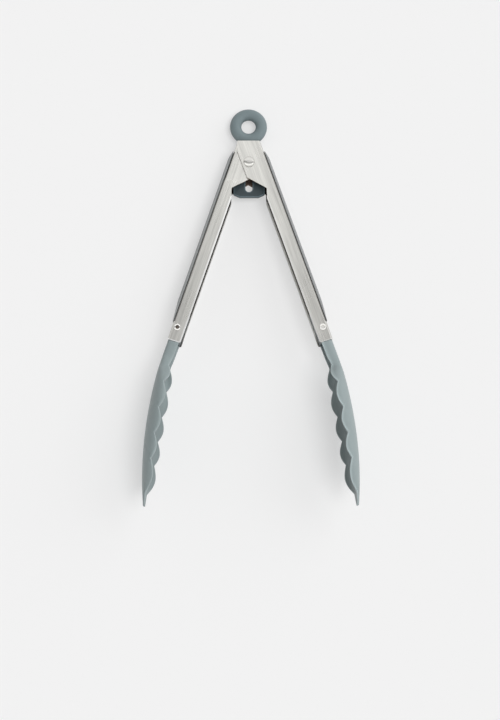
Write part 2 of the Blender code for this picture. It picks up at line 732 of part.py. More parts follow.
def head_rivet(name, side, finish, parent):
    """A tubular rivet through both flanges and the tang, rolled over at both ends."""
    seat = CHANNEL_WIDTH / 2 + RIVET_SEAT_GAP
    end = seat + HEAD_RIVET_FLANGE
    profile = [
        (HEAD_RIVET_BORE, -end),
        (HEAD_RIVET_RADIUS, -end),
        (HEAD_RIVET_FLANGE_RADIUS, -seat - HEAD_RIVET_FLANGE / 2),
        (HEAD_RIVET_FLANGE_RADIUS, -seat),
        (HEAD_RIVET_RADIUS, -seat),
        (HEAD_RIVET_RADIUS, seat),
        (HEAD_RIVET_FLANGE_RADIUS, seat),
        (HEAD_RIVET_FLANGE_RADIUS, seat + HEAD_RIVET_FLANGE / 2),
        (HEAD_RIVET_RADIUS, end),
        (HEAD_RIVET_BORE, end),
    ]
    bm = turned(profile, ROUND_STEPS // 2, closed=True)
    bmesh.ops.translate(bm, verts=bm.verts, vec=(HEAD_RIVET_OFFSET, head_rivet_height(), 0))
    return piece(name, mirror_for(bm, side), finish, parent)


def solid_points():
    """World positions of every visible solid's points."""
    bpy.context.view_layer.update()
    graph = bpy.context.evaluated_depsgraph_get()
    clouds = []
    for obj in bpy.context.scene.objects:
        if obj.type not in ("MESH", "CURVE") or obj.hide_render:
            continue
        evaluated = obj.evaluated_get(graph)
        mesh = evaluated.to_mesh()
        clouds.append([evaluated.matrix_world @ vert.co for vert in mesh.vertices])
        evaluated.to_mesh_clear()
    return np.array([spot[:] for cloud in clouds for spot in cloud])


def lay_down(root):
    """Turns and lifts the tongs onto z = 0, resting on both heads and whatever is lowest at the hinge end."""
    side_view = sorted(set(map(tuple, solid_points()[:, 1:])))
    hull = []
    for point in side_view:
        while len(hull) > 1:
            (y1, z1), (y2, z2) = hull[-2:]
            if (y2 - y1) * (point[1] - z1) - (z2 - z1) * (point[0] - y1) > 0:
                break
            hull.pop()
        hull.append(point)
    middle = (side_view[0][0] + side_view[-1][0]) / 2
    (y1, z1), (y2, z2) = next(pair for pair in zip(hull, hull[1:]) if pair[1][0] > middle)
    root.rotation_euler.x = -math.atan2(z2 - z1, y2 - y1)
    points = solid_points()
    low, high = points.min(axis=0), points.max(axis=0)
    root.location = (-(low[0] + high[0]) / 2, -(low[1] + high[1]) / 2, -low[2])


def main():
    clear_scene()
    steel = material("brushed_stainless_steel", "C9C7C1", 0.32, 1)
    rivet_steel = material("polished_stainless_steel", "D6D5D2", 0.18, 1)
    spring_steel = material("spring_steel", "6B5F58", 0.35, 1)
    nylon = material("moulded_nylon", "4C575A", 0.5, 0)
    silicone = material("moulded_silicone", "7C898B", 0.6, 0)
    grip_rubber = material("grip_silicone", "838787", 0.65, 0)

    tongs = empty("lying_tongs", None)
    lock = empty("lock_slide", tongs)
    pivot_rivet(rivet_steel, tongs)
    pivot_sleeve(rivet_steel, tongs)
    torsion_spring(spring_steel, tongs)
    lock_tab(nylon, lock)
    ring_cover(silicone, lock)
    for side_name, side in (("right", 1), ("left", -1)):
        hinge = empty(f"{side_name}_hinge", tongs, side * OPEN_ANGLE)
        arm(f"{side_name}_arm", side, side < 0, steel, hinge)
        grip(f"{side_name}_grip", side, grip_rubber, hinge)
        head(side_name, side, nylon, silicone, hinge)
        head_rivet(f"{side_name}_head_rivet", side, rivet_steel, hinge)
    lay_down(tongs)


main()
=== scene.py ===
"""Locking kitchen tongs, dressed for a plain studio picture taken from above.

Lengths are in metres. The tongs' own frame has the pivot at its origin, +Y to the pull ring and +Z up
through the rivet. An arm's own frame is turned by half the opening about the pivot, with +X out of its
web and -Y along it to the head; the left arm is its mirror image.
"""

import json
import math

import bmesh
import bpy
import numpy as np
from bpy.props import FloatProperty, FloatVectorProperty, IntProperty, PointerProperty
from mathutils import Matrix, Vector


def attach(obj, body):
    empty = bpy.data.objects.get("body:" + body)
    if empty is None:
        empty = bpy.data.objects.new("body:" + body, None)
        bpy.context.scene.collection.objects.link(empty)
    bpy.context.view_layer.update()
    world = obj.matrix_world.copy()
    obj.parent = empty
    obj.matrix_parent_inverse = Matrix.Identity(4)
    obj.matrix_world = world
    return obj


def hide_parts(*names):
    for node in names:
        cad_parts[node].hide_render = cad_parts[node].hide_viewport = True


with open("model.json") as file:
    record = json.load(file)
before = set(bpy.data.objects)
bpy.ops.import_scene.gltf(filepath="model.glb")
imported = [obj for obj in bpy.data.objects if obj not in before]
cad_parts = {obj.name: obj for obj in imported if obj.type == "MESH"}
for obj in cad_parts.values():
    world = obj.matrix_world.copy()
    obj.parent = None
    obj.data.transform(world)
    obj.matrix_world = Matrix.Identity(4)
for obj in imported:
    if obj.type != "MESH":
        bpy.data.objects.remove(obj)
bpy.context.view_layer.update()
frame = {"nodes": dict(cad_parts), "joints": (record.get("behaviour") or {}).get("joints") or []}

bl_info = {
    "name": "Locking Kitchen Tongs",
    "version": (1, 0, 0),
    "blender": (4, 5, 0),
    "location": "View3D > Sidebar > Tongs",
    "description": "Steel kitchen tongs with soft scoop heads, grips and a pull-ring lock",
    "category": "Object",
}

JOINTS = {joint["name"]: joint for joint in frame["joints"]}
SIDES = (("right", 1), ("left", -1))

# Ears and window at the hinge end of the arms, in the tongs' own frame
EAR_OVERHANG = 0.0043
EAR_TOP = 0.0130
EAR_TOP_HALF_WIDTH = 0.0069
INNER_EAR_TOP_REACH = 0.0050
EAR_SIDE_TOP = 0.0067
CHEVRON_TOP = 0.0102
WINDOW_HALF_WIDTH = 0.0102
WINDOW_SHOULDER = 0.0160
WINDOW_BOTTOM = 0.0221
EAR_CORNER_RADIUS = 0.0009
EAR_LAYER_GAP = 0.0003
STEP_START = 0.0125
STEP_LENGTH = 0.0040
END_CORNER_RADIUS = 0.0010
SHEET_EDGE_ROUND = 0.0003
CUT_FACE_SLOPE = 0.1

# Marks of painted light and shade on the arms' steel, in an arm's own frame
BRIGHT_EDGE = 0.0010
BRIGHT_END = 0.0007
# Strength of the painted highlight on each arm's free edges and lower end
SHEET_EDGE_HIGHLIGHT_SHARES = {"right": 0.35, "left": 0.8}
# Width and strength of the painted shadow in the seam beside the grip
SEAM_WIDTH = 0.0011
SEAM_SHARES = {"right": 0.60, "left": 0.78}
FOLD_SHADE = (0.84, 0.84, 0.84)
WEB_INSIDE_GAIN = 3.6
WEB_INSIDE_SHEETS = 3
# Span of the painted light on the inside between the ears
WINDOW_LIGHT_PATCH = (0.0030, 0.0048)
LIT_LIPS = {"right": (0.0007, 0.0013), "left": (0.0002, 0.0007)}
LIT_LIP_SHARE = 0.95
LIP_FADE_INSETS = (0.0020, 0.0085)
LIP_END_SHARE = 0.2

# Rivets, sleeve and spring
PIVOT_SHANK_RADIUS = 0.0011
PIVOT_HOLE_CLEARANCE = 0.0003
RIVET_SEAT_GAP = 0.0002
PIVOT_TAIL_RADIUS = 0.0030
PIVOT_TAIL_HEIGHT = 0.0010
PIVOT_HEAD_SQUARENESS = 3
RIVET_EDGE_ROUND = 0.0003
SLEEVE_CLEARANCE = 0.00025
SLEEVE_WALL = 0.0004
SLEEVE_END_GAP = 0.0003
COIL_PITCH = 0.00120
COIL_CLEARANCE = 0.0005
COIL_END_GAP = 0.0003
COIL_TURNS = 2
LEG_REACH = 0.0145
LEG_WEB_GAP = 0.0003
LEG_BEND_RADIUS = 0.0012
HEAD_RIVET_INSET = 0.0082
HEAD_RIVET_OFFSET = 0.00725
HEAD_RIVET_RADIUS = 0.0013
HEAD_RIVET_BORE = 0.0008
HEAD_RIVET_MOUTH = 0.00105
HEAD_RIVET_BORE_DEPTH = 0.0013
HEAD_RIVET_FLANGE_RADIUS = 0.0019
HEAD_RIVET_FLANGE = 0.0006
HEAD_RIVET_EDGE = 0.0002
HEAD_RIVET_ROUGHNESSES = {"right": 0.36, "left": 0.17}
# The head rivet whose hollow ends get painted shade
SHADED_BORE_RIVET = "left"
HEAD_RIVET_CLEARANCE = 0.0003

# Lock tab
TAB_THICKNESS = 0.0024
TAB_NECK_HALF_WIDTH = 0.0049
TAB_FOOT_HALF_WIDTH = 0.0092
TAB_END_HALF_WIDTH = 0.0055
TAB_END = 0.0199
TAB_END_CORNER = 0.0016
TAB_SIDE_LOW = 0.0182
TAB_SHOULDER = 0.0120
TAB_SHOULDER_SLOPE = 0.0030
TAB_CORNER_RADIUS = 0.0012
TAB_EDGE_ROUND = 0.0006
# Gain of the painted highlight on the tab's bevelled edges
TAB_EDGE_HIGHLIGHT_GAIN = 2.8
SLOT_CLEARANCE = 0.0003
LOCK_TRAVEL = JOINTS["lock_slide"]["range_m"][1]
EYE_CLEARANCE = 0.0003

# Grips
GRIP_START = 0.0034
GRIP_END_INSET = 0.0110
GRIP_SEAT_GAP = 0.0003
GRIP_SIDE_INSET = 0.0010
GRIP_ROUND = 0.0009
GRIP_EDGE_ROUND = 0.0001
GRIP_TAPER = 0.0130
GRIP_TIP_THICKNESS = 0.0003
GRIP_TOP_TAPER = 0.0050
PLUG_COUNT = 3
PLUG_FIRST = 0.0300
PLUG_END_INSET = 0.0140
PLUG_RADIUS = 0.0015
PLUG_HOLE_CLEARANCE = 0.0003
PLUG_BUTTON_RADIUS = 0.0026
PLUG_BUTTON_HEIGHT = 0.0008

# Heads
HEAD_DEPTH = 0.0069
HEAD_BACK_INSET = 0.0002
HEAD_STRAIGHT = 0.0067
HEAD_BACK_RADIUS = 0.2230
HEAD_SEAT_GAP = 0.0001
HEAD_EDGE_ROUND = 0.0006
HEAD_EDGE_SHARE = 1 / 3
HEAD_TIP_ROUND = 0.0004
LEAST_DISH = 0.0002
# Painted highlight on the rims' outer shoulders, stronger on the right head
RIM_HIGHLIGHT_GAIN = 2.2
RIM_HIGHLIGHT_SHARES = {"right": 0.9, "left": 0.15}
SHOULDER_HIGHLIGHT_SHARE = 1 / 3
INNER_SKIN_SHADE = (0.78, 0.78, 0.78)
SKIN_FADE_SHARES = (0.22, 0.42)
HEAD_PLACE_SHARES = (0, 0.09, 0.15, 0.21, 0.272, 0.35, 0.48, 0.60, 0.73, 0.80, 0.865, 0.92, 0.965, 0.985, 1)
HEAD_WIDTH_SHARES = (
    0.30, 0.31, 0.40, 0.70, 0.89, 0.965, 0.99, 0.985, 0.945, 0.84, 0.65, 0.485, 0.36, 0.27, 0.12,
)
HEAD_DEPTH_SHARES = (
    0.955, 0.925, 0.84, 0.865, 0.92, 0.97, 1, 0.96, 0.86, 0.75, 0.56, 0.36, 0.25, 0.20, 0.165,
)
HEAD_WALL_SHARES = (1, 1, 1, 1, 1, 1, 1, 1, 1, 1, 1, 0.85, 0.58, 0.45, 0.36)
HEAD_SQUARE_SHARES = (1, 1, 0.75, 0.35, 0.12, 0.05, 0, 0, 0, 0, 0, 0, 0, 0, 0)
VALLEY_PLACE_SHARES = (0.152, 0.274, 0.431, 0.584, 0.732, 0.925)
SQUAREST_SECTION = 5.0
ROUNDEST_SECTION = 2.2

# Camera in the tongs' own frame, and the stage
CAMERA_PLACE = Vector((-0.0167, -0.2706, 0.7501))
CAMERA_TURN = Vector((math.radians(11.61), math.radians(-1.19), math.radians(-0.39)))
CAMERA_LENS = 67.22
CAMERA_SENSOR = 36.0
FLOOR_HALF_SIDE = 6.0
FLOOR_GLOW_SHARE = 0.46
WORLD_SHARE = 0.38
KEY_SHARE = 0.42
KEY_DIRECTION = Vector((0.25, -0.12, 0.96))
KEY_ANGLE = math.radians(29)
FILL_DIRECTION = Vector((0.78, 0.50, 0.45))
FILL_ANGLE = math.radians(60)

# The room that metal mirrors, by the Y of a ray: a soft box, a strip along it, and a wall that falls off
SOFT_BOX_EDGE = (-0.06, 0.16)
SOFT_BOX_SHADE = (1.25, 0.27)
STRIP_EDGE = (-0.50, -0.30)
STRIP_GAIN = 1.48
WALL_RISE = (0.335, 0.42)
WALL_LIGHT = 0.99
WALL_FALL = (0.55, 0.80)
WALL_FALL_SHARE = 0.82
WALL_TILT = 0.13

# Finishes: the sizes and strengths of their patterns
SCRATCH_PITCH = 0.0005
SCRATCH_DEPTH = 0.00004
SCRATCH_STRENGTH = 0.35
SCRATCH_STRETCH = 0.03
BAND_PITCH = 0.0014
DRIFT_SIZE = 0.0160
STREAK_LIMITS = (0.3, 0.7)
STREAK_DARK_SHARE = 0.60
BRUSHED_ROUGHNESSES = (0.22, 0.34)
STAIN_SIZE = 0.0025
DULL_ROUGHNESSES = (0.42, 0.58)
HANDLING_CLOUD_SIZE = 0.0014
HANDLING_SPREAD = 0.06
PIVOT_ROUGHNESS = 0.24
BORE_ROUGHNESS = 0.40
WIRE_STAIN_SIZE = 0.0011
WIRE_DARK_SHARE = 0.6
WIRE_ROUGHNESS = 0.38
MOTTLE_SIZE = 0.0090
MOTTLE_SPREAD = 0.07
GRAIN_SIZE = 0.0003
GRAIN_DEPTH = 0.00003
GRAIN_STRENGTH = 0.25
POLYMER_IOR = 1.42

# Colour, roughness and mottling of each moulded finish
MOULDINGS = {
    "moulded_head_silicone": ("silicone", 0.48, 0.04),
    "moulded_ring_silicone": ("ring", 0.46, 0.04),
    "moulded_grip_silicone": ("grips", 0.50, 0.05),
    "moulded_core_nylon": ("nylon", 0.42, 0.06),
    "moulded_tab_nylon": ("nylon", 0.40, 0.06),
    # Lighter nylon for the painted highlight on the tab's bevelled edges
    "scuffed_tab_edges": ("nylon", 0.44, 0.10),
}

# Mesh fineness
MERGE_DISTANCE = 0.000001
OVERRUN = 0.0030
SMOOTH_ANGLE = math.radians(35)
EDGE_STEPS = 3
CORNER_STEPS = 7
BEND_STEPS = 6
ROUND_STEPS = 48
RING_STEPS = 96
RING_SECTION_STEPS = 32
BUMP_STEPS = 14
NECK_STEPS = 12
TIP_STEPS = 10
TIP_ROUND_STEPS = 5
SECTION_STEPS = 32
RIM_STEPS = 4
RIM_HIGHLIGHT_STEPS = 2
CURL_POINTS = 36
LEG_BEND_POINTS = 8
LEG_LAP_POINTS = 6
WIRE_RESOLUTION = 4


def linear(hex_colour):
    """Linear red, green and blue of an sRGB hex colour."""
    channels = [int(hex_colour[i : i + 2], 16) / 255 for i in (0, 2, 4)]
    return tuple(c / 12.92 if c <= 0.04045 else ((c + 0.055) / 1.055) ** 2.4 for c in channels)


def length_property(name, default, description):
    return FloatProperty(name=name, default=default, description=description, unit="LENGTH", precision=5)


def colour_property(name, hex_colour, description):
    return FloatVectorProperty(
        name=name, default=linear(hex_colour), description=description, subtype="COLOR",
        min=0, max=1,
    )


class TongsSizes(bpy.types.PropertyGroup):
    """Sizes of the tongs that a user would change."""

    open_angle: FloatProperty(
        name="Arm angle", default=math.radians(18.8), subtype="ANGLE",
        description="Angle of each arm from the middle, sprung open",
    )
    arm_reach: length_property("Arm reach", 0.1150, "Distance from the pivot to the end of the steel")
    channel_width: length_property("Channel width", 0.0130, "Outer width of the folded channel")
    sheet: length_property("Sheet", 0.0007, "Thickness of the steel sheet")
    web_offset: length_property("Web offset", 0.0104, "Distance of the web's outside from the pivot line")
    free_edge: length_property("Free edge", 0.00265, "Distance of the free edges from the pivot line")
    bend_radius: length_property("Bend radius", 0.0012, "Outer radius of the channel's two folds")
    rivet_radius: length_property("Rivet radius", 0.0032, "Radius of the pivot rivet's domed head")
    rivet_height: length_property("Rivet height", 0.0013, "Height of the pivot rivet's domed head")
    wire_radius: length_property("Wire radius", 0.00037, "Radius of the spring wire")
    grip_thickness: length_property("Grip thickness", 0.0015, "Thickness of each grip pad")
    ring_centre: length_property("Ring centre", 0.0238, "Distance of the pull ring's middle from the pivot")
    ring_radius: length_property("Ring radius", 0.01095, "Outer radius of the pull ring")
    ring_hole: length_property("Ring hole", 0.0042, "Radius of the pull ring's hole")
    ring_thickness: length_property("Ring thickness", 0.0058, "Thickness of the pull ring")
    head_length: length_property("Head length", 0.0931, "Length of each soft head")
    head_width: length_property("Head width", 0.0410, "Width of each soft head")
    head_wall: length_property("Head wall", 0.0026, "Wall of each soft head, with its core")
    bump_height: length_property("Bump height", 0.0022, "Height of the scallops along the rims")


class TongsColours(bpy.types.PropertyGroup):
    """Colours of the tongs that a user would change."""

    steel: colour_property("Steel", "E8E7E2", "Brushed stainless steel of the arms")
    # Inside colour: painted shade, dark steel inside the channel, on the cut edges and in the grip's seam
    inside: colour_property("Inside", "403C39", "Dull steel inside the arms and on the cut edges")
    # Window colour: painted light, a lighter brown on the shaded inside between the ears
    stain: colour_property("Stain", "9C877B", "Brown stain between the ears, where the tab rubs")
    rivets: colour_property("Head rivets", "E4E3E0", "Polished stainless steel of the head rivets")
    pivot: colour_property("Pivot rivet", "C7C6C2", "Polished stainless steel of the pivot rivet and sleeve")
    # Bore colour: painted shade inside a head rivet's hollow end
    bore: colour_property("Rivet bore", "6E6660", "Stained steel inside a head rivet's hollow end")
    spring: colour_property("Spring", "6B5F58", "Drawn spring wire")
    silicone: colour_property("Silicone", "8B9697", "Moulded silicone of the heads")
    ring: colour_property("Ring", "727F82", "Moulded silicone of the pull ring")
    grips: colour_property("Grips", "8F9191", "Moulded silicone of the grips")
    nylon: colour_property("Nylon", "394347", "Moulded nylon of the lock tab and the cores")
    floor: colour_property("Floor", "F2F2F2", "Pale studio floor and backdrop")


def sizes():
    return bpy.context.scene.tongs_sizes


def colours():
    return bpy.context.scene.tongs_colours


def lying_frame():
    """The tongs' own frame in the world, from the left arm's hinge and the lock's slide."""
    hinge = JOINTS["left_arm_hinge"]
    up = Vector(hinge["axis"]).normalized()
    along = Vector(JOINTS["lock_slide"]["axis"]).normalized()
    matrix = Matrix((along.cross(up), along, up)).transposed().to_4x4()
    matrix.translation = Vector(hinge["pos_m"])
    return matrix


def arm_turn(side):
    """An arm's own frame in the world, without the left arm's mirroring."""
    return lying_frame() @ Matrix.Rotation(side * sizes().open_angle, 4, "Z")


def arm_frame(side):
    return arm_turn(side) @ Matrix.Diagonal((side, 1, 1, 1))


def add_node(tree, kind, settings, links=()):
    """Adds a shader node, sets its properties and its sockets' values, and links its named sockets.

    A link comes from a socket, or from the first socket that a node has in use. A Mix node names its
    sockets alike, so they go by number: 0 is its share, 2 and 3 are its numbers, 6 and 7 its colours.
    """
    made = tree.nodes.new(f"ShaderNode{kind}")
    for name, value in settings.items():
        if isinstance(name, int) or name in made.inputs:
            made.inputs[name].default_value = value
        else:
            setattr(made, name, value)
    for name, source in dict(links).items():
        if isinstance(source, bpy.types.Node):
            source = next(output for output in source.outputs if output.enabled)
        tree.links.new(source, made.inputs[name])
    return made


def new_material(name):
    made = bpy.data.materials.new(name)
    made.use_nodes = True
    made.node_tree.nodes.clear()
    return made, made.node_tree


def arm_places(tree, side):
    """Link sources at a point of an arm: its place, that in the arm's own frame, and its |X| and Y there."""
    place = add_node(tree, "TexCoord", {}).outputs["Object"]
    placing = arm_turn(side)
    along = add_node(
        tree, "Mapping",
        {"vector_type": "TEXTURE", "Location": placing.translation, "Rotation": placing.to_euler()},
        {"Vector": place},
    )
    parts = add_node(tree, "SeparateXYZ", {}, {"Vector": along})
    offset = add_node(tree, "Math", {"operation": "ABSOLUTE"}, {0: parts.outputs["X"]})
    return place, along, offset, parts.outputs["Y"]


def brushed_stainless_sheet(side_name, side):
    """Stainless sheet brushed along its length: fine long scratches that draw reflections out sideways.

    The scratches are drawn about 0.5 mm apart, coarser than real brushing, so that they show. Painted shade
    darkens the sheet towards the fold, a painted shadow lies in the seam beside the grip, and a painted
    highlight whitens the free edges below the window and the lower end.
    """
    made, tree = new_material(f"brushed_stainless_sheet_{side_name}")
    _, along, offset, height = arm_places(tree, side)
    stretched = add_node(tree, "Mapping", {"Scale": (1, SCRATCH_STRETCH, 1)}, {"Vector": along})
    scratches, bands, drifts = (
        add_node(
            tree, "TexNoise", {"Scale": 1 / size, "Detail": detail, "Roughness": fineness},
            {"Vector": places},
        )
        for size, detail, fineness, places in (
            (SCRATCH_PITCH, 5.0, 0.65, stretched), (BAND_PITCH, 3.0, 0.6, stretched),
            (DRIFT_SIZE, 2.0, 0.5, along),
        )
    )
    streaks = add_node(tree, "Mix", {"data_type": "FLOAT", 0: 0.5}, {2: scratches, 3: bands})
    s = sizes()
    ramps = {
        name: add_node(
            tree, "MapRange",
            {"From Min": low, "From Max": high, "To Min": first, "To Max": last}, {"Value": source},
        )
        for name, (source, low, high, first, last) in {
            "streaks": (streaks, *STREAK_LIMITS, 0, 1),
            "fold": (offset, s.free_edge + BRIGHT_EDGE, s.web_offset, 0, 1),
            "seam": (offset, s.web_offset - SEAM_WIDTH, s.web_offset - SEAM_WIDTH / 2,
                     0, SEAM_SHARES[side_name]),
            "edge": (offset, s.free_edge + BRIGHT_EDGE / 2, s.free_edge + BRIGHT_EDGE, 1, 0),
            "end": (height, BRIGHT_END / 2 - s.arm_reach, BRIGHT_END - s.arm_reach, 1, 0),
            "below": (height, -WINDOW_BOTTOM, -WINDOW_BOTTOM - BRIGHT_EDGE, 0, SHEET_EDGE_HIGHLIGHT_SHARES[side_name]),
            "rough": (drifts, 0, 1, *BRUSHED_ROUGHNESSES),
        }.items()
    }
    beside_grip = add_node(
        tree, "Math",
        {"operation": "COMPARE", 1: (GRIP_START + grip_end()) / 2, 2: (GRIP_START - grip_end()) / 2},
        {0: height},
    )
    # Painted shadow in the seam beside the grip, in the inside's dark colour
    seam_shadow = add_node(tree, "Math", {"operation": "MULTIPLY"}, {0: ramps["seam"], 1: beside_grip})
    # Painted highlight: white on the free edges below the window and on the lower end
    rim = add_node(tree, "Math", {"operation": "MAXIMUM"}, {0: ramps["edge"], 1: ramps["end"]})
    free = add_node(tree, "Math", {"operation": "MULTIPLY"}, {0: rim, 1: ramps["below"]})
    dark = [STREAK_DARK_SHARE * c for c in colours().steel]
    tone = add_node(
        tree, "Mix", {"data_type": "RGBA", 6: (*colours().steel, 1), 7: (*dark, 1)},
        {0: ramps["streaks"]},
    )
    # Painted shade towards the fold, the seam's painted shadow and the edges' white painted highlight
    for share, blend, colour in (
        (ramps["fold"], "MULTIPLY", FOLD_SHADE), (seam_shadow, "MIX", colours().inside), (free, "MIX", (1, 1, 1)),
    ):
        tone = add_node(
            tree, "Mix", {"data_type": "RGBA", "blend_type": blend, 7: (*colour, 1)},
            {0: share, 6: tone},
        )
    bump = add_node(
        tree, "Bump", {"Strength": SCRATCH_STRENGTH, "Distance": SCRATCH_DEPTH},
        {"Height": scratches},
    )
    shader = add_node(
        tree, "BsdfPrincipled", {"Metallic": 1.0},
        {"Base Color": tone, "Roughness": ramps["rough"], "Normal": bump},
    )
    add_node(tree, "OutputMaterial", {}, {"Surface": shader})
    return made


def dull_shaded_stainless_sheet(side_name, side):
    """Unbrushed stainless sheet inside the fold: dull, grey on the web and dark with painted shade on the
    flanges.

    Between the ears it carries painted light in a lighter brown, and a narrow lip beside the free edges
    carries painted light nearly as bright as the outside. The lip fades towards the head.
    """
    made, tree = new_material(f"dull_stainless_inside_{side_name}")
    place, _, offset, height = arm_places(tree, side)
    stain = add_node(tree, "TexNoise", {"Scale": 1 / STAIN_SIZE, "Detail": 4.0}, {"Vector": place})
    s = sizes()
    lip_low, lip_high = LIT_LIPS[side_name]
    fade_low, fade_high = LIP_FADE_INSETS
    ramps = {
        name: add_node(
            tree, "MapRange",
            {"From Min": low, "From Max": high, "To Min": first, "To Max": last}, {"Value": source},
        )
        for name, (source, low, high, first, last) in {
            "web": (offset, s.web_offset - WEB_INSIDE_SHEETS * s.sheet, s.web_offset - s.sheet, 0, 1),
            "middle": (offset, *WINDOW_LIGHT_PATCH, 1, 0),
            "above": (height, -WINDOW_SHOULDER, WINDOW_LIGHT_PATCH[1] - WINDOW_SHOULDER, 0, 1),
            "lip": (offset, s.free_edge + lip_low, s.free_edge + lip_high, LIT_LIP_SHARE, 0),
            "below": (height, -WINDOW_BOTTOM, -WINDOW_BOTTOM - BRIGHT_EDGE, 0, 1),
            "fade": (height, fade_low - s.arm_reach, fade_high - s.arm_reach, LIP_END_SHARE, 1),
            "rough": (stain, 0, 1, *DULL_ROUGHNESSES),
        }.items()
    }
    # Painted light: a lighter brown patch on the inside between the ears
    window_light = add_node(tree, "Math", {"operation": "MULTIPLY"}, {0: ramps["middle"], 1: ramps["above"]})
    lip = add_node(tree, "Math", {"operation": "MULTIPLY"}, {0: ramps["lip"], 1: ramps["fade"]})
    lit = add_node(tree, "Math", {"operation": "MULTIPLY"}, {0: lip, 1: ramps["below"]})
    # The flanges keep the dark inside colour as painted shade; the web's inside is a lighter grey
    grey = [WEB_INSIDE_GAIN * c for c in colours().inside]
    tone = add_node(
        tree, "Mix", {"data_type": "RGBA", 6: (*colours().inside, 1), 7: (*grey, 1)},
        {0: ramps["web"]},
    )
    for share, colour in ((window_light, colours().stain), (lit, colours().steel)):
        tone = add_node(tree, "Mix", {"data_type": "RGBA", 7: (*colour, 1)}, {0: share, 6: tone})
    shader = add_node(
        tree, "BsdfPrincipled", {"Metallic": 1.0}, {"Base Color": tone, "Roughness": ramps["rough"]}
    )
    add_node(tree, "OutputMaterial", {}, {"Surface": shader})
    return made


def polished_stainless(name, colour, roughness):
    """Barrel-polished stainless rivets: bright, with faint clouding from handling."""
    made, tree = new_material(name)
    place = add_node(tree, "TexCoord", {}).outputs["Object"]
    clouds = add_node(tree, "TexNoise", {"Scale": 1 / HANDLING_CLOUD_SIZE, "Detail": 3.0}, {"Vector": place})
    rough = add_node(
        tree, "MapRange",
        {"To Min": roughness - HANDLING_SPREAD, "To Max": roughness + HANDLING_SPREAD}, {"Value": clouds},
    )
    shader = add_node(
        tree, "BsdfPrincipled", {"Metallic": 1.0, "Base Color": (*colour, 1)}, {"Roughness": rough}
    )
    add_node(tree, "OutputMaterial", {}, {"Surface": shader})
    return made


def drawn_spring_wire(name):
    """Drawn spring wire: dull brown-grey steel with a soft shine."""
    made, tree = new_material(name)
    place = add_node(tree, "TexCoord", {}).outputs["Object"]
    stain = add_node(tree, "TexNoise", {"Scale": 1 / WIRE_STAIN_SIZE, "Detail": 3.0}, {"Vector": place})
    dark = [WIRE_DARK_SHARE * c for c in colours().spring]
    tone = add_node(tree, "Mix", {"data_type": "RGBA", 6: (*colours().spring, 1), 7: (*dark, 1)}, {0: stain})
    shader = add_node(
        tree, "BsdfPrincipled", {"Metallic": 1.0, "Roughness": WIRE_ROUGHNESS}, {"Base Color": tone}
    )
    add_node(tree, "OutputMaterial", {}, {"Surface": shader})
    return made


def moulded_polymer(name, gain=1.0):
    """Silicone or nylon from a spark-eroded mould: soft sheen, faint mottling and a fine matt grain.

    The grain is drawn about 0.3 mm across, coarser than the mould's, so that it breaks up the sheen.
    Where a piece has marked rims, they carry a painted highlight, and the inner skin of a scoop is darkened
    by painted shade.
    """
    made, tree = new_material(name)
    colour_name, roughness, mottle = MOULDINGS[name]
    colour = [gain * c for c in getattr(colours(), colour_name)]
    place = add_node(tree, "TexCoord", {}).outputs["Object"]
    cloud = add_node(
        tree, "TexNoise", {"Scale": 1 / MOTTLE_SIZE, "Detail": 4.0, "Roughness": 0.6},
        {"Vector": place},
    )
    grain = add_node(tree, "TexNoise", {"Scale": 1 / GRAIN_SIZE, "Detail": 2.0}, {"Vector": place})
    light = [min(1, (1 + mottle) * c) for c in colour]
    dark = [(1 - mottle) * c for c in colour]
    tone = add_node(tree, "Mix", {"data_type": "RGBA", 6: (*dark, 1), 7: (*light, 1)}, {0: cloud})
    pale = [RIM_HIGHLIGHT_GAIN * c for c in colour]
    # Painted highlight on marked rims and painted shade on a scoop's inner skin
    for mark, blend, shade in (("worn_rim", "MIX", pale), ("inner_skin", "MULTIPLY", INNER_SKIN_SHADE)):
        share = add_node(tree, "Attribute", {"attribute_name": mark}).outputs["Fac"]
        tone = add_node(
            tree, "Mix", {"data_type": "RGBA", "blend_type": blend, 7: (*shade, 1)},
            {0: share, 6: tone},
        )
    rough = add_node(
        tree, "MapRange",
        {"To Min": roughness - MOTTLE_SPREAD, "To Max": roughness + MOTTLE_SPREAD}, {"Value": cloud},
    )
    bump = add_node(tree, "Bump", {"Strength": GRAIN_STRENGTH, "Distance": GRAIN_DEPTH}, {"Height": grain})
    shader = add_node(
        tree, "BsdfPrincipled", {"IOR": POLYMER_IOR},
        {"Base Color": tone, "Roughness": rough, "Normal": bump},
    )
    add_node(tree, "OutputMaterial", {}, {"Surface": shader})
    return made


def linked_object(name, data):
    made = bpy.data.objects.new(name, data)
    bpy.context.scene.collection.objects.link(made)
    return made


def mesh_object(name, bm, *materials):
    mesh = bpy.data.meshes.new(name)
    bm.to_mesh(mesh)
    bm.free()
    for material in materials:
        mesh.materials.append(material)
    return linked_object(name, mesh)


def closed_object(name, bm, placing, *materials):
    """An object of the closed bmesh, placed in the world by its mesh, its faces pointing out."""
    bmesh.ops.remove_doubles(bm, verts=bm.verts, dist=MERGE_DISTANCE)
    bmesh.ops.transform(bm, matrix=placing, verts=bm.verts)
    bmesh.ops.recalc_face_normals(bm, faces=bm.faces)
    return mesh_object(name, bm, *materials)


def apply_modifiers(obj):
    """Keeps the shape that the object's modifiers give and removes them, with any cutters that they used."""
    cutters = [modifier.object for modifier in obj.modifiers if modifier.type == "BOOLEAN"]
    graph = bpy.context.evaluated_depsgraph_get()
    shaped = bpy.data.meshes.new_from_object(obj.evaluated_get(graph))
    obj.modifiers.clear()
    obj.data = shaped
    for cutter in cutters:
        bpy.data.objects.remove(cutter)


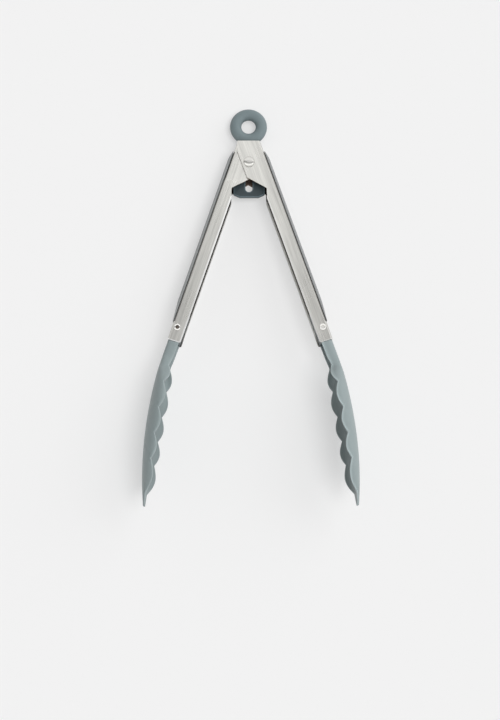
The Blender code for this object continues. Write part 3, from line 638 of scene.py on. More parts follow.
def combine(obj, operation, bm, placing, material=None):
    """Adds a Boolean with the closed bmesh to the object, whose faces there may get their own material."""
    modifier = obj.modifiers.new(operation.lower(), "BOOLEAN")
    modifier.operation = operation
    modifier.solver = "EXACT"
    modifier.material_mode = "TRANSFER"
    finish = material or obj.data.materials[0]
    modifier.object = closed_object(f"{obj.name}_{len(obj.modifiers)}", bm, placing, finish)
    modifier.object.hide_render = True


def finish_piece(obj, body, node, edge_round=0.0, edge_material=0):
    """Rounds the piece's sharp edges, shades it, fixes it to its body and puts it in the node's place."""
    if edge_round:
        edges = obj.modifiers.new("edges", "BEVEL")
        edges.width = edge_round
        edges.segments = EDGE_STEPS
        edges.limit_method = "ANGLE"
        edges.angle_limit = SMOOTH_ANGLE
        edges.material = edge_material
    apply_modifiers(obj)
    obj.data.shade_smooth()
    obj.data.set_sharp_from_angle(angle=SMOOTH_ANGLE)
    if edge_round:
        obj.modifiers.new("flats", "WEIGHTED_NORMAL").keep_sharp = True
        apply_modifiers(obj)
    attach(obj, body)
    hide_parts(node)


def rounded(corners):
    """An outline from (x, y, radius) corners, each radius as an arc of CORNER_STEPS steps."""
    outline = []
    for index, (x, y, radius) in enumerate(corners):
        corner = Vector((x, y))
        if not radius:
            outline.append(corner)
            continue
        before = (Vector(corners[index - 1][:2]) - corner).normalized()
        after = (Vector(corners[(index + 1) % len(corners)][:2]) - corner).normalized()
        half_angle = before.angle(after) / 2
        centre = corner + (before + after).normalized() * (radius / math.sin(half_angle))
        start = corner + before * (radius / math.tan(half_angle)) - centre
        sweep = math.pi - 2 * half_angle
        direction = 1 if before.x * after.y < before.y * after.x else -1
        for step in range(CORNER_STEPS + 1):
            turn = Matrix.Rotation(direction * sweep * step / CORNER_STEPS, 2)
            outline.append(centre + turn @ start)
    return outline


def rectangle(left, right, first, second):
    """Corners at the two heights, going round."""
    return [(left, first), (right, first), (right, second), (left, second)]


def prism(outline, low, high):
    """The outline in X and Y, extruded along Z."""
    bm = bmesh.new()
    face = bm.faces.new([bm.verts.new((x, y, low)) for x, y in outline])
    grown = bmesh.ops.extrude_face_region(bm, geom=[face])["geom"]
    lifted = [item for item in grown if isinstance(item, bmesh.types.BMVert)]
    bmesh.ops.translate(bm, verts=lifted, vec=(0, 0, high - low))
    return bm


def round_folds(bm, face_x, radius, least_run=0.0):
    """Rounds the edges that run along the arm in the face at face_x, where they are longer than least_run."""
    edges = []
    for edge in bm.edges:
        a, b = (vert.co for vert in edge.verts)
        on_face = min(a.x, b.x) > face_x - MERGE_DISTANCE
        if on_face and abs(a.z - b.z) < MERGE_DISTANCE and abs(a.y - b.y) > least_run:
            edges.append(edge)
    bmesh.ops.bevel(
        bm, geom=edges, offset=radius, segments=BEND_STEPS, profile=0.5, affect="EDGES", material=-1
    )


def turned(profile, steps=ROUND_STEPS, closed=False):
    """The (radius, height) profile spun round Z. A closed profile makes a ring or a tube."""
    bm = bmesh.new()
    verts = [bm.verts.new((radius, 0, height)) for radius, height in profile]
    pairs = list(zip(verts, verts[1:])) + ([(verts[-1], verts[0])] if closed else [])
    edges = [bm.edges.new(pair) for pair in pairs]
    bmesh.ops.spin(
        bm, geom=verts + edges, cent=(0, 0, 0), axis=(0, 0, 1), angle=2 * math.pi,
        steps=steps, use_merge=True,
    )
    bmesh.ops.remove_doubles(bm, verts=bm.verts, dist=MERGE_DISTANCE)
    return bm


def rod(radius, low, high, x=0.0, y=0.0):
    bm = turned([(0, low), (radius, low), (radius, high), (0, high)])
    bmesh.ops.translate(bm, verts=bm.verts, vec=(x, y, 0))
    return bm


def across_web(bm, y):
    """Turns a shape made along Z to lie along X, through the web at the height y."""
    bmesh.ops.rotate(bm, verts=bm.verts, cent=(0, 0, 0), matrix=Matrix.Rotation(math.pi / 2, 3, "Y"))
    bmesh.ops.translate(bm, verts=bm.verts, vec=(0, y, 0))
    return bm


def arc(centre, radius, start, end, steps):
    """(radius, height) points of an arc, for a turned profile."""
    points = []
    for step in range(steps + 1):
        angle = start + (end - start) * step / steps
        points.append((centre[0] + radius * math.cos(angle), centre[1] + radius * math.sin(angle)))
    return points


def smooth_value(places, values, place):
    """A value between the given ones, on a curve through them that doesn't overshoot."""
    places = np.asarray(places, float)
    values = np.asarray(values, float)
    slopes = np.diff(values) / np.diff(places)
    tangents = np.zeros(len(values))
    for i in range(1, len(values) - 1):
        if slopes[i - 1] * slopes[i] > 0:
            tangents[i] = 2 * slopes[i - 1] * slopes[i] / (slopes[i - 1] + slopes[i])
    tangents[0], tangents[-1] = slopes[0], slopes[-1]
    i = int(np.clip(np.searchsorted(places, place) - 1, 0, len(slopes) - 1))
    span = places[i + 1] - places[i]
    t = (place - places[i]) / span
    return float(
        values[i] * (1 + 2 * t) * (1 - t) ** 2
        + values[i + 1] * t * t * (3 - 2 * t)
        + tangents[i] * span * t * (1 - t) ** 2
        - tangents[i + 1] * span * t * t * (1 - t)
    )


def in_arm_frame(x, y):
    """A point of the open tongs, right of the middle, in the right arm's own frame."""
    return (Matrix.Rotation(-sizes().open_angle, 2) @ Vector((x, y)))[:]


def ear_outline(top_reach):
    """The flange of an arm from the side, ear at the top, with its chevron and window corner."""
    s = sizes()
    side_top = in_arm_frame(-EAR_TOP_HALF_WIDTH, EAR_SIDE_TOP)
    top_left = in_arm_frame(-top_reach, EAR_TOP)
    top_right = in_arm_frame(EAR_TOP_HALF_WIDTH, EAR_TOP)
    chevron_top = in_arm_frame(0, -CHEVRON_TOP)
    shoulder = in_arm_frame(WINDOW_HALF_WIDTH, -WINDOW_SHOULDER)
    window_end = in_arm_frame(WINDOW_HALF_WIDTH, -WINDOW_BOTTOM)
    chevron_slope = (chevron_top[1] - shoulder[1]) / (chevron_top[0] - shoulder[0])
    top_slope = (top_right[1] - top_left[1]) / (top_right[0] - top_left[0])
    return rounded([
        (-EAR_OVERHANG, side_top[1], EAR_CORNER_RADIUS),
        (-EAR_OVERHANG, shoulder[1] + chevron_slope * (-EAR_OVERHANG - shoulder[0]), EAR_CORNER_RADIUS),
        (*shoulder, EAR_CORNER_RADIUS),
        (s.free_edge, window_end[1], EAR_CORNER_RADIUS),
        (s.free_edge, -s.arm_reach, END_CORNER_RADIUS),
        (s.web_offset, -s.arm_reach, 0),
        (s.web_offset, top_left[1] + top_slope * (s.web_offset - top_left[0]), 0),
        (*top_left, EAR_CORNER_RADIUS),
    ])


def step_ears(bm, amount):
    """Brings the ear end of a channel in towards the middle plane, over a short sloped length."""
    for height in (-STEP_START, -STEP_START - STEP_LENGTH):
        everything = bm.verts[:] + bm.edges[:] + bm.faces[:]
        bmesh.ops.bisect_plane(
            bm, geom=everything, dist=MERGE_DISTANCE, plane_co=(0, height, 0), plane_no=(0, 1, 0)
        )
    for vert in bm.verts:
        if vert.co.y > -STEP_START - MERGE_DISTANCE:
            vert.co.z -= math.copysign(amount, vert.co.z)


def ear_inside():
    """Half the clear width between the inner pair of ears."""
    s = sizes()
    return s.channel_width / 2 - 2 * s.sheet - EAR_LAYER_GAP


def grip_end():
    """Height of a grip's lower end, in the arm's own frame."""
    return GRIP_END_INSET - sizes().arm_reach


def plug_places():
    """Heights of a grip's plugs, spread evenly between the two that are nearest its ends."""
    return np.linspace(-PLUG_FIRST, grip_end() + PLUG_END_INSET, PLUG_COUNT).tolist()


def head_rivet_height():
    """Height of the rivet that holds the head, in the arm's own frame."""
    return HEAD_RIVET_INSET - sizes().arm_reach


def mark_cut_edges(bm):
    """Gives the faces that go through the sheet the second material, dark with painted shade, but not the web
    and the lower end.
    """
    s = sizes()
    bm.normal_update()
    for face in bm.faces:
        middle = face.calc_center_median()
        cut = middle.x < s.web_offset - MERGE_DISTANCE and middle.y > MERGE_DISTANCE - s.arm_reach
        if cut and abs(face.normal.z) < CUT_FACE_SLOPE:
            face.material_index = 1


def make_arm(side_name, side):
    """A folded sheet channel with its ears, pivot hole, rivet hole and holes for the grip's plugs."""
    s = sizes()
    half = s.channel_width / 2
    stepped = side < 0
    body = prism(ear_outline(INNER_EAR_TOP_REACH if stepped else EAR_TOP_HALF_WIDTH), -half, half)
    round_folds(body, s.web_offset, s.bend_radius, s.arm_reach / 2)
    inner_face = s.web_offset - s.sheet
    left = -EAR_OVERHANG - OVERRUN
    trough = prism(
        rectangle(left, inner_face, -s.arm_reach - OVERRUN, EAR_TOP + OVERRUN), s.sheet - half, half - s.sheet
    )
    round_folds(trough, inner_face, s.bend_radius - s.sheet)
    if stepped:
        step_ears(body, s.sheet + EAR_LAYER_GAP)
        step_ears(trough, s.sheet + EAR_LAYER_GAP)
    placing = arm_frame(side)
    steel = brushed_stainless_sheet(side_name, side)
    inside = dull_shaded_stainless_sheet(side_name, side)
    mark_cut_edges(body)
    made = closed_object(f"{side_name}_arm_channel", body, placing, steel, inside)
    combine(made, "DIFFERENCE", trough, placing, inside)
    reach = half + OVERRUN
    combine(made, "DIFFERENCE", rod(PIVOT_SHANK_RADIUS + PIVOT_HOLE_CLEARANCE, -reach, reach), placing)
    rivet_hole = rod(
        HEAD_RIVET_RADIUS + HEAD_RIVET_CLEARANCE, -reach, reach, HEAD_RIVET_OFFSET, head_rivet_height()
    )
    combine(made, "DIFFERENCE", rivet_hole, placing)
    for y in plug_places():
        hole = rod(PLUG_RADIUS + PLUG_HOLE_CLEARANCE, inner_face - OVERRUN, s.web_offset + OVERRUN)
        combine(made, "DIFFERENCE", across_web(hole, y), placing)
    finish_piece(made, f"{side_name}_arm", f"{side_name}_arm", SHEET_EDGE_ROUND)


def make_grip(side_name, side, material):
    """A soft pad on the outside of the web, its long edges rounded, with plugs through the web."""
    s = sizes()
    seat = s.web_offset + GRIP_SEAT_GAP
    outer = seat + s.grip_thickness
    tip = seat + GRIP_TIP_THICKNESS
    half = s.channel_width / 2 - GRIP_SIDE_INSET
    end = grip_end()
    outline = [
        (seat, GRIP_START),
        (seat, end),
        (tip, end),
        (outer, end + GRIP_TAPER),
        (outer, GRIP_START - GRIP_TOP_TAPER),
        (tip, GRIP_START),
    ]
    pad = prism(outline, -half, half)
    round_folds(pad, outer, GRIP_ROUND)
    placing = arm_frame(side)
    made = closed_object(f"{side_name}_grip_pad", pad, placing, material)
    inner_face = s.web_offset - s.sheet - GRIP_SEAT_GAP
    root = seat + s.grip_thickness / 2
    profile = [
        (0, inner_face - PLUG_BUTTON_HEIGHT),
        *arc((PLUG_BUTTON_RADIUS - PLUG_BUTTON_HEIGHT / 2, inner_face - PLUG_BUTTON_HEIGHT / 2),
             PLUG_BUTTON_HEIGHT / 2, -math.pi / 2, math.pi / 2, CORNER_STEPS),
        (PLUG_RADIUS, inner_face),
        (PLUG_RADIUS, root),
        (0, root),
    ]
    for y in plug_places():
        combine(made, "UNION", across_web(turned(profile, ROUND_STEPS // 2), y), placing)
    finish_piece(made, f"{side_name}_arm", f"{side_name}_grip", GRIP_EDGE_ROUND)


def head_back(place):
    """Distance of the head's outer back from the pivot line, at a distance along the arm."""
    s = sizes()
    along = max(0.0, place - s.arm_reach - HEAD_STRAIGHT)
    drop = HEAD_BACK_RADIUS - math.sqrt(HEAD_BACK_RADIUS**2 - along**2)
    return s.web_offset - HEAD_BACK_INSET - drop


def head_arc(back, full_depth, rim_depth, width, exponent, steps):
    """(distance from the pivot line, height) of points on a superellipse, from rim to rim over the back."""
    trim = (1 - min(rim_depth / full_depth, 1)) ** (exponent / 2)
    rim_angle = math.acos(trim)
    points = []
    for step in range(steps + 1):
        angle = rim_angle * (2 * step / steps - 1)
        across = math.copysign(abs(math.sin(angle)) ** (2 / exponent), angle)
        inward = 1 - math.cos(angle) ** (2 / exponent)
        points.append(Vector((back - full_depth * inward, width * across)))
    return points


def head_section(share, pinch):
    """One closed section of the head's wall: the outer arc, a rounded rim, the inner arc and a rim again."""
    s = sizes()
    back = head_back(s.arm_reach + HEAD_SEAT_GAP + share * s.head_length) - pinch
    width = s.head_width / 2 * smooth_value(HEAD_PLACE_SHARES, HEAD_WIDTH_SHARES, share) - pinch
    square = smooth_value(HEAD_PLACE_SHARES, HEAD_SQUARE_SHARES, share)
    exponent = ROUNDEST_SECTION + (SQUAREST_SECTION - ROUNDEST_SECTION) * square
    valley_depth = HEAD_DEPTH * smooth_value(HEAD_PLACE_SHARES, HEAD_DEPTH_SHARES, share)
    wall = s.head_wall * smooth_value(HEAD_PLACE_SHARES, HEAD_WALL_SHARES, share) - 2 * pinch
    full_depth = valley_depth + s.bump_height - pinch
    rim_depth = valley_depth - 2 * pinch
    for low, high in zip(VALLEY_PLACE_SHARES, VALLEY_PLACE_SHARES[1:]):
        if low < share < high:
            rim_depth += s.bump_height * math.sin(math.pi * (share - low) / (high - low))
    rim_depth = max(rim_depth, wall + LEAST_DISH)
    edge = min(HEAD_EDGE_ROUND, wall * HEAD_EDGE_SHARE)
    outer = head_arc(back, full_depth, rim_depth - edge, width, exponent, SECTION_STEPS)
    dish = max(rim_depth - wall - edge / 2, LEAST_DISH / 2)
    inner = head_arc(back - wall, full_depth - wall, dish, width - wall, exponent, SECTION_STEPS)
    inner.reverse()
    rim = back - rim_depth
    return outer + rounded_rim(outer[-1], inner[0], rim) + inner + rounded_rim(inner[-1], outer[0], rim)


def skin_marks(side_name, share):
    """(painted highlight, painted shade) at each point of a section: the highlight is on the rims' outer
    shoulders.

    The inner skin's painted shade starts below the neck.
    """
    highlight = RIM_HIGHLIGHT_SHARES[side_name]
    shoulder = (highlight * SHOULDER_HIGHLIGHT_SHARE, 0.0)
    grey = min(1.0, max(0.0, (share - SKIN_FADE_SHARES[0]) / (SKIN_FADE_SHARES[1] - SKIN_FADE_SHARES[0])))
    outer = [shoulder] + [(0.0, 0.0)] * (SECTION_STEPS - 1) + [shoulder]
    inner = [(0.0, grey)] * (SECTION_STEPS + 1)
    rim = [(highlight, 0.0)] * RIM_HIGHLIGHT_STEPS + [(0.0, grey / 2)] * (2 * RIM_STEPS - 1 - RIM_HIGHLIGHT_STEPS)
    return outer + rim + inner + rim[::-1]


def rounded_rim(start, end, rim):
    """Points over the rim from one side of the wall to the other, on a flattened half circle."""
    points = []
    for step in range(1, 2 * RIM_STEPS):
        angle = math.pi * step / (2 * RIM_STEPS)
        across = (1 - math.cos(angle)) / 2
        level = start.x + (end.x - start.x) * across
        depth = level + (rim - level) * math.sin(angle) ** 0.5
        points.append(Vector((depth, start.y + (end.y - start.y) * across)))
    return points


def head_stations():
    """(share of the head's length, pinch) of each section: the neck, each bump, the tip and its round end."""
    s = sizes()
    stations = [(share, 0.0) for share in np.linspace(0, VALLEY_PLACE_SHARES[0], NECK_STEPS, endpoint=False)]
    for low, high in zip(VALLEY_PLACE_SHARES, VALLEY_PLACE_SHARES[1:]):
        stations += [(share, 0.0) for share in np.linspace(low, high, BUMP_STEPS, endpoint=False)]
    round_share = HEAD_TIP_ROUND / s.head_length
    stations += [(share, 0.0) for share in np.linspace(VALLEY_PLACE_SHARES[-1], 1 - round_share, TIP_STEPS)]
    for step in range(1, TIP_ROUND_STEPS + 1):
        angle = math.pi / 2 * step / TIP_ROUND_STEPS
        stations.append((1 - round_share * (1 - math.sin(angle)), HEAD_TIP_ROUND * (1 - math.cos(angle))))
    return stations


def make_head(side_name, side, material):
    """The soft scoop: one ring of its wall's section, drawn out along the arm and scalloped at the rims."""
    s = sizes()
    bm = bmesh.new()
    # Per-point shares of the rims' painted highlight and the inner skin's painted shade
    highlight_layer = bm.verts.layers.float.new("worn_rim")
    inner = bm.verts.layers.float.new("inner_skin")
    stations = head_stations()
    first = head_section(*stations[0])
    ring = [bm.verts.new((x, -s.arm_reach - HEAD_SEAT_GAP, z)) for x, z in first]
    for vert, marks in zip(ring, skin_marks(side_name, stations[0][0])):
        vert[highlight_layer], vert[inner] = marks
    edges = [bm.edges.new((ring[i - 1], ring[i])) for i in range(len(ring))]
    bm.faces.new(ring)
    for share, pinch in stations[1:]:
        grown = bmesh.ops.extrude_edge_only(bm, edges=edges)["geom"]
        edges = [item for item in grown if isinstance(item, bmesh.types.BMEdge)]
        ends = {item for item in grown if isinstance(item, bmesh.types.BMVert)}
        ring = [
            next(edge.other_vert(vert) for edge in vert.link_edges if edge.other_vert(vert) in ends)
            for vert in ring
        ]
        place = -s.arm_reach - HEAD_SEAT_GAP - share * s.head_length
        for vert, (x, z), marks in zip(ring, head_section(share, pinch), skin_marks(side_name, share)):
            vert.co = (x, place, z)
            vert[highlight_layer], vert[inner] = marks
    bm.faces.new(ring)
    made = closed_object(f"{side_name}_soft_head", bm, arm_frame(side), material)
    finish_piece(made, f"{side_name}_arm", f"{side_name}_head_cover")


def make_head_rivet(side_name, side, material, bore, shaded_bore):
    """A rivet through both flanges and the tang, its hollow ends rolled over into flanges.

    One rivet's hollow ends are darkened inside with painted shade.
    """
    seat = sizes().channel_width / 2 + RIVET_SEAT_GAP
    roll_centre = (HEAD_RIVET_FLANGE_RADIUS + HEAD_RIVET_MOUTH) / 2
    roll = (HEAD_RIVET_FLANGE_RADIUS - HEAD_RIVET_MOUTH) / 2
    crest = HEAD_RIVET_FLANGE - HEAD_RIVET_EDGE
    floor = seat + HEAD_RIVET_FLANGE - HEAD_RIVET_BORE_DEPTH
    top = [(radius, seat + HEAD_RIVET_EDGE + height * crest / roll)
           for radius, height in arc((roll_centre, 0), roll, 0, math.pi, 3 * CORNER_STEPS)]
    upper = [
        (HEAD_RIVET_RADIUS, seat),
        (HEAD_RIVET_FLANGE_RADIUS, seat),
        *top,
        (HEAD_RIVET_BORE, floor),
        (0, floor),
    ]
    profile = [(radius, -height) for radius, height in reversed(upper)] + upper
    bm = turned(profile)
    for face in bm.faces:
        middle = face.calc_center_median()
        # Faces inside the hollow end get the bore's painted shade
        if shaded_bore and middle.xy.length < HEAD_RIVET_MOUTH - MERGE_DISTANCE:
            face.material_index = 1
    bmesh.ops.translate(bm, verts=bm.verts, vec=(HEAD_RIVET_OFFSET, head_rivet_height(), 0))
    made = closed_object(f"{side_name}_tubular_rivet", bm, arm_frame(side), material, bore)
    finish_piece(made, f"{side_name}_arm", f"{side_name}_head_rivet")


def make_pivot_rivet(material):
    """The low domed head with its round shoulder, the shank and the flat formed tail."""
    s = sizes()
    seat = s.channel_width / 2 + RIVET_SEAT_GAP
    tail = -seat - PIVOT_TAIL_HEIGHT
    head = []
    for step in range(4 * CORNER_STEPS + 1):
        angle = math.pi / 2 * step / (4 * CORNER_STEPS)
        height = s.rivet_height * math.sin(angle)
        head.append((s.rivet_radius * math.cos(angle) ** (2 / PIVOT_HEAD_SQUARENESS), seat + height))
    profile = [
        (0, tail),
        *arc((PIVOT_TAIL_RADIUS - RIVET_EDGE_ROUND, tail + RIVET_EDGE_ROUND), RIVET_EDGE_ROUND,
             -math.pi / 2, 0, CORNER_STEPS),
        (PIVOT_TAIL_RADIUS, -seat),
        (PIVOT_SHANK_RADIUS, -seat),
        (PIVOT_SHANK_RADIUS, seat),
        *head,
    ]
    made = closed_object("domed_pivot_rivet", turned(profile), lying_frame(), material)
    finish_piece(made, "pivot", "pivot_rivet")


def sleeve_radii():
    inner = PIVOT_SHANK_RADIUS + SLEEVE_CLEARANCE
    return inner, inner + SLEEVE_WALL


def make_sleeve(material):
    """The tube on the shank that spaces the ears and guides the tab."""
    half = ear_inside() - SLEEVE_END_GAP
    inner, outer = sleeve_radii()
    profile = [(inner, -half), (outer, -half), (outer, half), (inner, half)]
    made = closed_object("spacer_sleeve", turned(profile, closed=True), lying_frame(), material)
    finish_piece(made, "pivot", "pivot_sleeve")


class OBJECT_OT_tongs_arms(bpy.types.Operator):
    """Make the two folded steel arms"""

    bl_idname = "tongs.arms"
    bl_label = "Arms"

    def execute(self, context):
        for side_name, side in SIDES:
            make_arm(side_name, side)
        return {"FINISHED"}


class OBJECT_OT_tongs_grips(bpy.types.Operator):
    """Make the two soft grips"""

    bl_idname = "tongs.grips"
    bl_label = "Grips"

    def execute(self, context):
        material = moulded_polymer("moulded_grip_silicone")
        for side_name, side in SIDES:
            make_grip(side_name, side, material)
        return {"FINISHED"}


class OBJECT_OT_tongs_heads(bpy.types.Operator):
    """Make the two soft scoop heads and finish their cores in nylon"""

    bl_idname = "tongs.heads"
    bl_label = "Heads"

    def execute(self, context):
        material = moulded_polymer("moulded_head_silicone")
        nylon = moulded_polymer("moulded_core_nylon")
        for side_name, side in SIDES:
            make_head(side_name, side, material)
            finishes = frame["nodes"][f"{side_name}_head_core"].data.materials
            finishes.clear()
            finishes.append(nylon)
        return {"FINISHED"}


class OBJECT_OT_tongs_rivets(bpy.types.Operator):
    """Make the pivot rivet, its sleeve and the head rivets"""

    bl_idname = "tongs.rivets"
    bl_label = "Rivets"

    def execute(self, context):
        pivot = polished_stainless("polished_stainless_pivot", colours().pivot, PIVOT_ROUGHNESS)
        # Bore colour with painted shade for inside a head rivet's hollow end
        bore = polished_stainless("stained_stainless_bore", colours().bore, BORE_ROUGHNESS)
        make_pivot_rivet(pivot)
        make_sleeve(pivot)
        for side_name, side in SIDES:
            roughness = HEAD_RIVET_ROUGHNESSES[side_name]
            rolled = polished_stainless(f"polished_stainless_{side_name}_rivet", colours().rivets, roughness)
            make_head_rivet(side_name, side, rolled, bore, side_name == SHADED_BORE_RIVET)
        return {"FINISHED"}


def spring_path():
    """Middle lines of the near half of the spring: (left leg, coil, right leg with half the bar)."""
    s = sizes()
    radius = sleeve_radii()[1] + COIL_CLEARANCE + s.wire_radius
    top = ear_inside() - COIL_END_GAP - s.wire_radius
    leg_offset = s.web_offset - s.sheet - LEG_WEB_GAP - s.wire_radius
    leg_end = Matrix.Rotation(s.open_angle, 2) @ Vector((leg_offset, -LEG_REACH))
    tangent = math.acos(radius / leg_end.length)
    right = math.atan2(leg_end.y, leg_end.x)
    start = -math.pi - right + tangent
    finish = right - tangent + 2 * math.pi * COIL_TURNS
    turns = (finish - start) / (2 * math.pi)
    count = math.ceil(turns * CURL_POINTS)

    def on_coil(share):
        angle = start + (finish - start) * share
        return Vector((radius * math.cos(angle), radius * math.sin(angle), top - COIL_PITCH * turns * share))

    coil = [on_coil(index / count) for index in range(count + 1)]
    low = coil[-1].z
    left_leg = [Vector((-leg_end.x, leg_end.y, top)), *coil[: LEG_LAP_POINTS + 1]]
    outward = leg_end.normalized()
    bar = []
    for step in range(LEG_BEND_POINTS + 1):
        angle = math.pi / 2 * step / LEG_BEND_POINTS
        along = leg_end - outward * LEG_BEND_RADIUS * (1 - math.sin(angle))
        bar.append(Vector((*along, low - LEG_BEND_RADIUS * (1 - math.cos(angle)))))
    return left_leg, coil, coil[-LEG_LAP_POINTS - 1 :] + bar


def make_wire(name, points, material, body):
    """A round wire along the points, with closed ends."""
    curve = bpy.data.curves.new(name, "CURVE")
    curve.dimensions = "3D"
    curve.bevel_depth = sizes().wire_radius
    curve.bevel_resolution = WIRE_RESOLUTION
    curve.use_fill_caps = True
    spline = curve.splines.new("POLY")
    spline.points.add(len(points) - 1)
    placing = lying_frame()
    for target, point in zip(spline.points, points):
        target.co = (*(placing @ point), 1)
    curve.materials.append(material)
    made = linked_object(name, curve)
    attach(made, body)
    return made


def mirrored(points):
    return [Vector((point.x, point.y, -point.z)) for point in points]


class OBJECT_OT_tongs_spring(bpy.types.Operator):
    """Wind the double torsion spring, whose legs follow the arms"""

    bl_idname = "tongs.spring"
    bl_label = "Spring"

    def execute(self, context):
        material = drawn_spring_wire("drawn_spring_wire")
        left_leg, coil, right_leg = spring_path()
        near = make_wire("spring_coil_near", coil, material, "pivot")
        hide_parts("torsion_spring")
        make_wire("spring_coil_far", mirrored(coil), material, "pivot")
        make_wire("spring_left_leg_near", left_leg, material, "left_arm")
        make_wire("spring_left_leg_far", mirrored(left_leg), material, "left_arm")
        make_wire("spring_right_bar", right_leg + mirrored(right_leg)[::-1], material, "right_arm")
        return {"FINISHED"}


def make_lock_tab(material, highlit_edges):
    """The stiff sliding tab: a wide slotted foot between the arms and a neck that runs into the ring."""
    s = sizes()
    neck_top = s.ring_centre - (s.ring_hole + s.ring_radius) / 2
    right_side = [
        (TAB_NECK_HALF_WIDTH, neck_top, 0),
        (TAB_NECK_HALF_WIDTH, TAB_SHOULDER_SLOPE - TAB_SHOULDER, TAB_CORNER_RADIUS),
        (TAB_FOOT_HALF_WIDTH, -TAB_SHOULDER, TAB_CORNER_RADIUS),
        (TAB_FOOT_HALF_WIDTH, -TAB_SIDE_LOW, TAB_CORNER_RADIUS),
        (TAB_END_HALF_WIDTH, -TAB_END, TAB_END_CORNER),
    ]
    left_side = [(-x, y, radius) for x, y, radius in reversed(right_side)]
    half = TAB_THICKNESS / 2
    foot = prism(rounded(right_side + left_side), -half, half)
    made = closed_object("sliding_lock_tab", foot, lying_frame(), material, highlit_edges)
    width = sleeve_radii()[1] + SLOT_CLEARANCE
    corners = rectangle(-width, width, width, -LOCK_TRAVEL - width)
    slot_shape = prism(rounded([(x, y, width) for x, y in corners]), -half - OVERRUN, half + OVERRUN)
    bmesh.ops.remove_doubles(slot_shape, verts=slot_shape.verts, dist=MERGE_DISTANCE)
    combine(made, "DIFFERENCE", slot_shape, lying_frame())
    # The bevelled edges get the second material, with its painted highlight
    finish_piece(made, "lock", "lock_tab", TAB_EDGE_ROUND, 1)


def make_ring(material):
    """The soft rounded pull ring, with a mouth below for the tab's neck."""
    s = sizes()
    middle = (s.ring_hole + s.ring_radius) / 2
    half_width = (s.ring_radius - s.ring_hole) / 2
    profile = []
    for step in range(RING_SECTION_STEPS):
        angle = 2 * math.pi * step / RING_SECTION_STEPS
        profile.append((middle + half_width * math.cos(angle), s.ring_thickness / 2 * math.sin(angle)))
    bm = turned(profile, RING_STEPS, closed=True)
    bmesh.ops.translate(bm, verts=bm.verts, vec=(0, s.ring_centre, 0))
    made = closed_object("soft_pull_ring", bm, lying_frame(), material)
    half = TAB_THICKNESS / 2 + EYE_CLEARANCE
    width = TAB_NECK_HALF_WIDTH + EYE_CLEARANCE
    low = s.ring_centre - s.ring_radius - OVERRUN
    high = s.ring_centre - middle + EYE_CLEARANCE
    mouth = prism(rectangle(-width, width, low, high), -half, half)
    combine(made, "DIFFERENCE", mouth, lying_frame())
    finish_piece(made, "lock", "ring_cover")


class OBJECT_OT_tongs_lock(bpy.types.Operator):
    """Make the sliding lock tab and its pull ring"""

    bl_idname = "tongs.lock"
    bl_label = "Lock and ring"

    def execute(self, context):
        # Lighter nylon as a painted highlight on the tab's bevelled edges
        highlit_edges = moulded_polymer("scuffed_tab_edges", TAB_EDGE_HIGHLIGHT_GAIN)
        make_lock_tab(moulded_polymer("moulded_tab_nylon"), highlit_edges)
        make_ring(moulded_polymer("moulded_ring_silicone"))
        return {"FINISHED"}


def seen_ray(tree):
    """1 for rays from the camera, from metal and through glass, which should see the pale studio."""
    path = add_node(tree, "LightPath", {})
    seen = path.outputs["Is Camera Ray"]
    for kind in ("Is Glossy Ray", "Is Transmission Ray"):
        seen = add_node(tree, "Math", {"operation": "MAXIMUM"}, {0: seen, 1: path.outputs[kind]})
    return seen


def make_floor():
    """The pale floor, which keeps a soft share of the object's shadow."""
    made, tree = new_material("matt_paper_floor")
    paper = add_node(tree, "BsdfDiffuse", {"Color": (*colours().floor, 1)})
    glow = add_node(tree, "Emission", {"Color": (*colours().floor, 1), "Strength": 1.0})
    share = add_node(tree, "Math", {"operation": "MULTIPLY", 1: FLOOR_GLOW_SHARE}, {0: seen_ray(tree)})
    shader = add_node(tree, "MixShader", {}, {0: share, 1: paper, 2: glow})
    add_node(tree, "OutputMaterial", {}, {"Surface": shader})
    bm = bmesh.new()
    bmesh.ops.create_grid(bm, x_segments=1, y_segments=1, size=FLOOR_HALF_SIDE)
    mesh_object("studio_floor", bm, made)


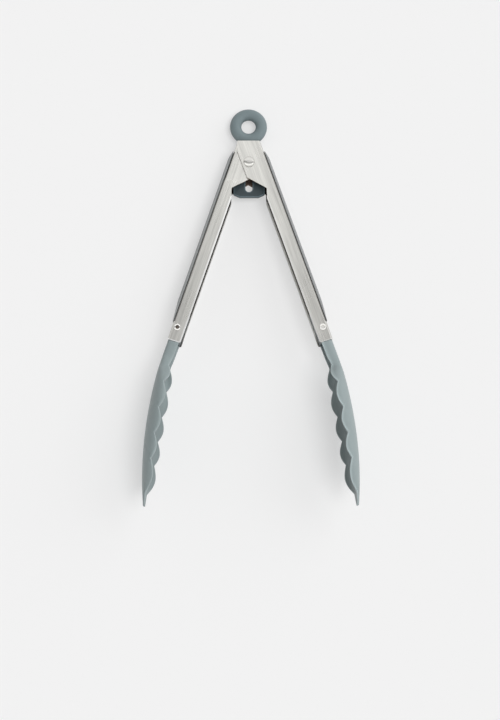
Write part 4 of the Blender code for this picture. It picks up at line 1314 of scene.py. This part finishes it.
def make_world():
    """An even pale room: plain soft light, a pale backdrop, and in metal a soft box beside a greyer wall."""
    world = bpy.data.worlds.new("pale_studio")
    world.use_nodes = True
    bpy.context.scene.world = world
    tree = world.node_tree
    tree.nodes.clear()
    direction = add_node(tree, "TexCoord", {}).outputs["Generated"]
    parts = add_node(tree, "SeparateXYZ", {}, {"Vector": direction}).outputs
    slanted = add_node(
        tree, "Math", {"operation": "MULTIPLY_ADD", 1: WALL_TILT}, {0: parts["X"], 2: parts["Y"]}
    )
    ramps = {
        name: add_node(
            tree, "MapRange",
            {"interpolation_type": "SMOOTHSTEP", "From Min": low, "From Max": high,
             "To Min": first, "To Max": last},
            {"Value": source},
        )
        for name, (source, low, high, first, last) in {
            "box": (parts["Y"], *SOFT_BOX_EDGE, *SOFT_BOX_SHADE),
            "strip": (parts["Y"], *STRIP_EDGE, 1, STRIP_GAIN),
            "wall": (slanted, *WALL_RISE, 0, WALL_LIGHT),
            "fall": (parts["Y"], *WALL_FALL, 1, WALL_FALL_SHARE),
        }.items()
    }
    wall = add_node(tree, "Math", {"operation": "MULTIPLY"}, {0: ramps["wall"], 1: ramps["fall"]})
    room = add_node(
        tree, "Math", {"operation": "MULTIPLY_ADD"}, {0: ramps["box"], 1: ramps["strip"], 2: wall}
    )
    path = add_node(tree, "LightPath", {})
    backdrop = add_node(tree, "Background", {"Color": (*colours().floor, 1), "Strength": 1.0})
    mirrored_room = add_node(tree, "Background", {"Color": (1, 1, 1, 1)}, {"Strength": room})
    shown = add_node(tree, "Background", {"Color": (1, 1, 1, 1), "Strength": WORLD_SHARE})
    for kind, view in (("Is Glossy Ray", mirrored_room), ("Is Camera Ray", backdrop)):
        shown = add_node(tree, "MixShader", {}, {0: path.outputs[kind], 1: shown, 2: view})
    add_node(tree, "OutputWorld", {}, {"Surface": shown})


def make_soft_light(name, direction, share, angle, shadow):
    """A large soft lamp that gives a level surface its share of plain light."""
    light = bpy.data.lights.new(name, "SUN")
    direction = direction.normalized()
    light.energy = math.pi * share / direction.z
    light.angle = angle
    light.use_shadow = shadow
    lamp = linked_object(name, light)
    lamp.rotation_euler = direction.to_track_quat("Z", "Y").to_euler()
    lamp.visible_glossy = False


def make_camera():
    data = bpy.data.cameras.new("studio_camera")
    data.sensor_fit = "VERTICAL"
    data.sensor_height = CAMERA_SENSOR
    data.lens = CAMERA_LENS
    camera = linked_object("studio_camera", data)
    turn = Matrix.Rotation(CAMERA_TURN.z, 4, "Z")
    turn @= Matrix.Rotation(CAMERA_TURN.y, 4, "Y")
    turn @= Matrix.Rotation(CAMERA_TURN.x, 4, "X")
    camera.matrix_world = lying_frame() @ Matrix.Translation(CAMERA_PLACE) @ turn
    bpy.context.scene.camera = camera


class OBJECT_OT_tongs_stage(bpy.types.Operator):
    """Set the floor, the light and the camera"""

    bl_idname = "tongs.stage"
    bl_label = "Stage"

    def execute(self, context):
        make_floor()
        make_world()
        make_soft_light("key_light", KEY_DIRECTION, KEY_SHARE, KEY_ANGLE, True)
        fill_share = 1 - WORLD_SHARE - KEY_SHARE
        make_soft_light("fill_light", FILL_DIRECTION, fill_share, FILL_ANGLE, False)
        make_camera()
        context.scene.view_settings.view_transform = "Standard"
        return {"FINISHED"}


OPERATORS = (
    OBJECT_OT_tongs_stage,
    OBJECT_OT_tongs_arms,
    OBJECT_OT_tongs_grips,
    OBJECT_OT_tongs_heads,
    OBJECT_OT_tongs_rivets,
    OBJECT_OT_tongs_spring,
    OBJECT_OT_tongs_lock,
)


class VIEW3D_PT_tongs(bpy.types.Panel):
    """Sidebar panel with the tongs' pieces, sizes and colours"""

    bl_label = "Kitchen tongs"
    bl_idname = "VIEW3D_PT_tongs"
    bl_space_type = "VIEW_3D"
    bl_region_type = "UI"
    bl_category = "Tongs"

    def draw(self, context):
        for operator in OPERATORS:
            self.layout.operator(operator.bl_idname)
        for group in (context.scene.tongs_sizes, context.scene.tongs_colours):
            for name in group.__annotations__:
                self.layout.prop(group, name)


CLASSES = (TongsSizes, TongsColours, *OPERATORS, VIEW3D_PT_tongs)


def register():
    for cls in CLASSES:
        bpy.utils.register_class(cls)
    bpy.types.Scene.tongs_sizes = PointerProperty(type=TongsSizes)
    bpy.types.Scene.tongs_colours = PointerProperty(type=TongsColours)


def unregister():
    del bpy.types.Scene.tongs_colours
    del bpy.types.Scene.tongs_sizes
    for cls in reversed(CLASSES):
        bpy.utils.unregister_class(cls)


def main():
    register()
    bpy.ops.tongs.stage()
    bpy.ops.tongs.arms()
    bpy.ops.tongs.grips()
    bpy.ops.tongs.heads()
    bpy.ops.tongs.rivets()
    bpy.ops.tongs.spring()
    bpy.ops.tongs.lock()


if __name__ == "__main__":
    main()
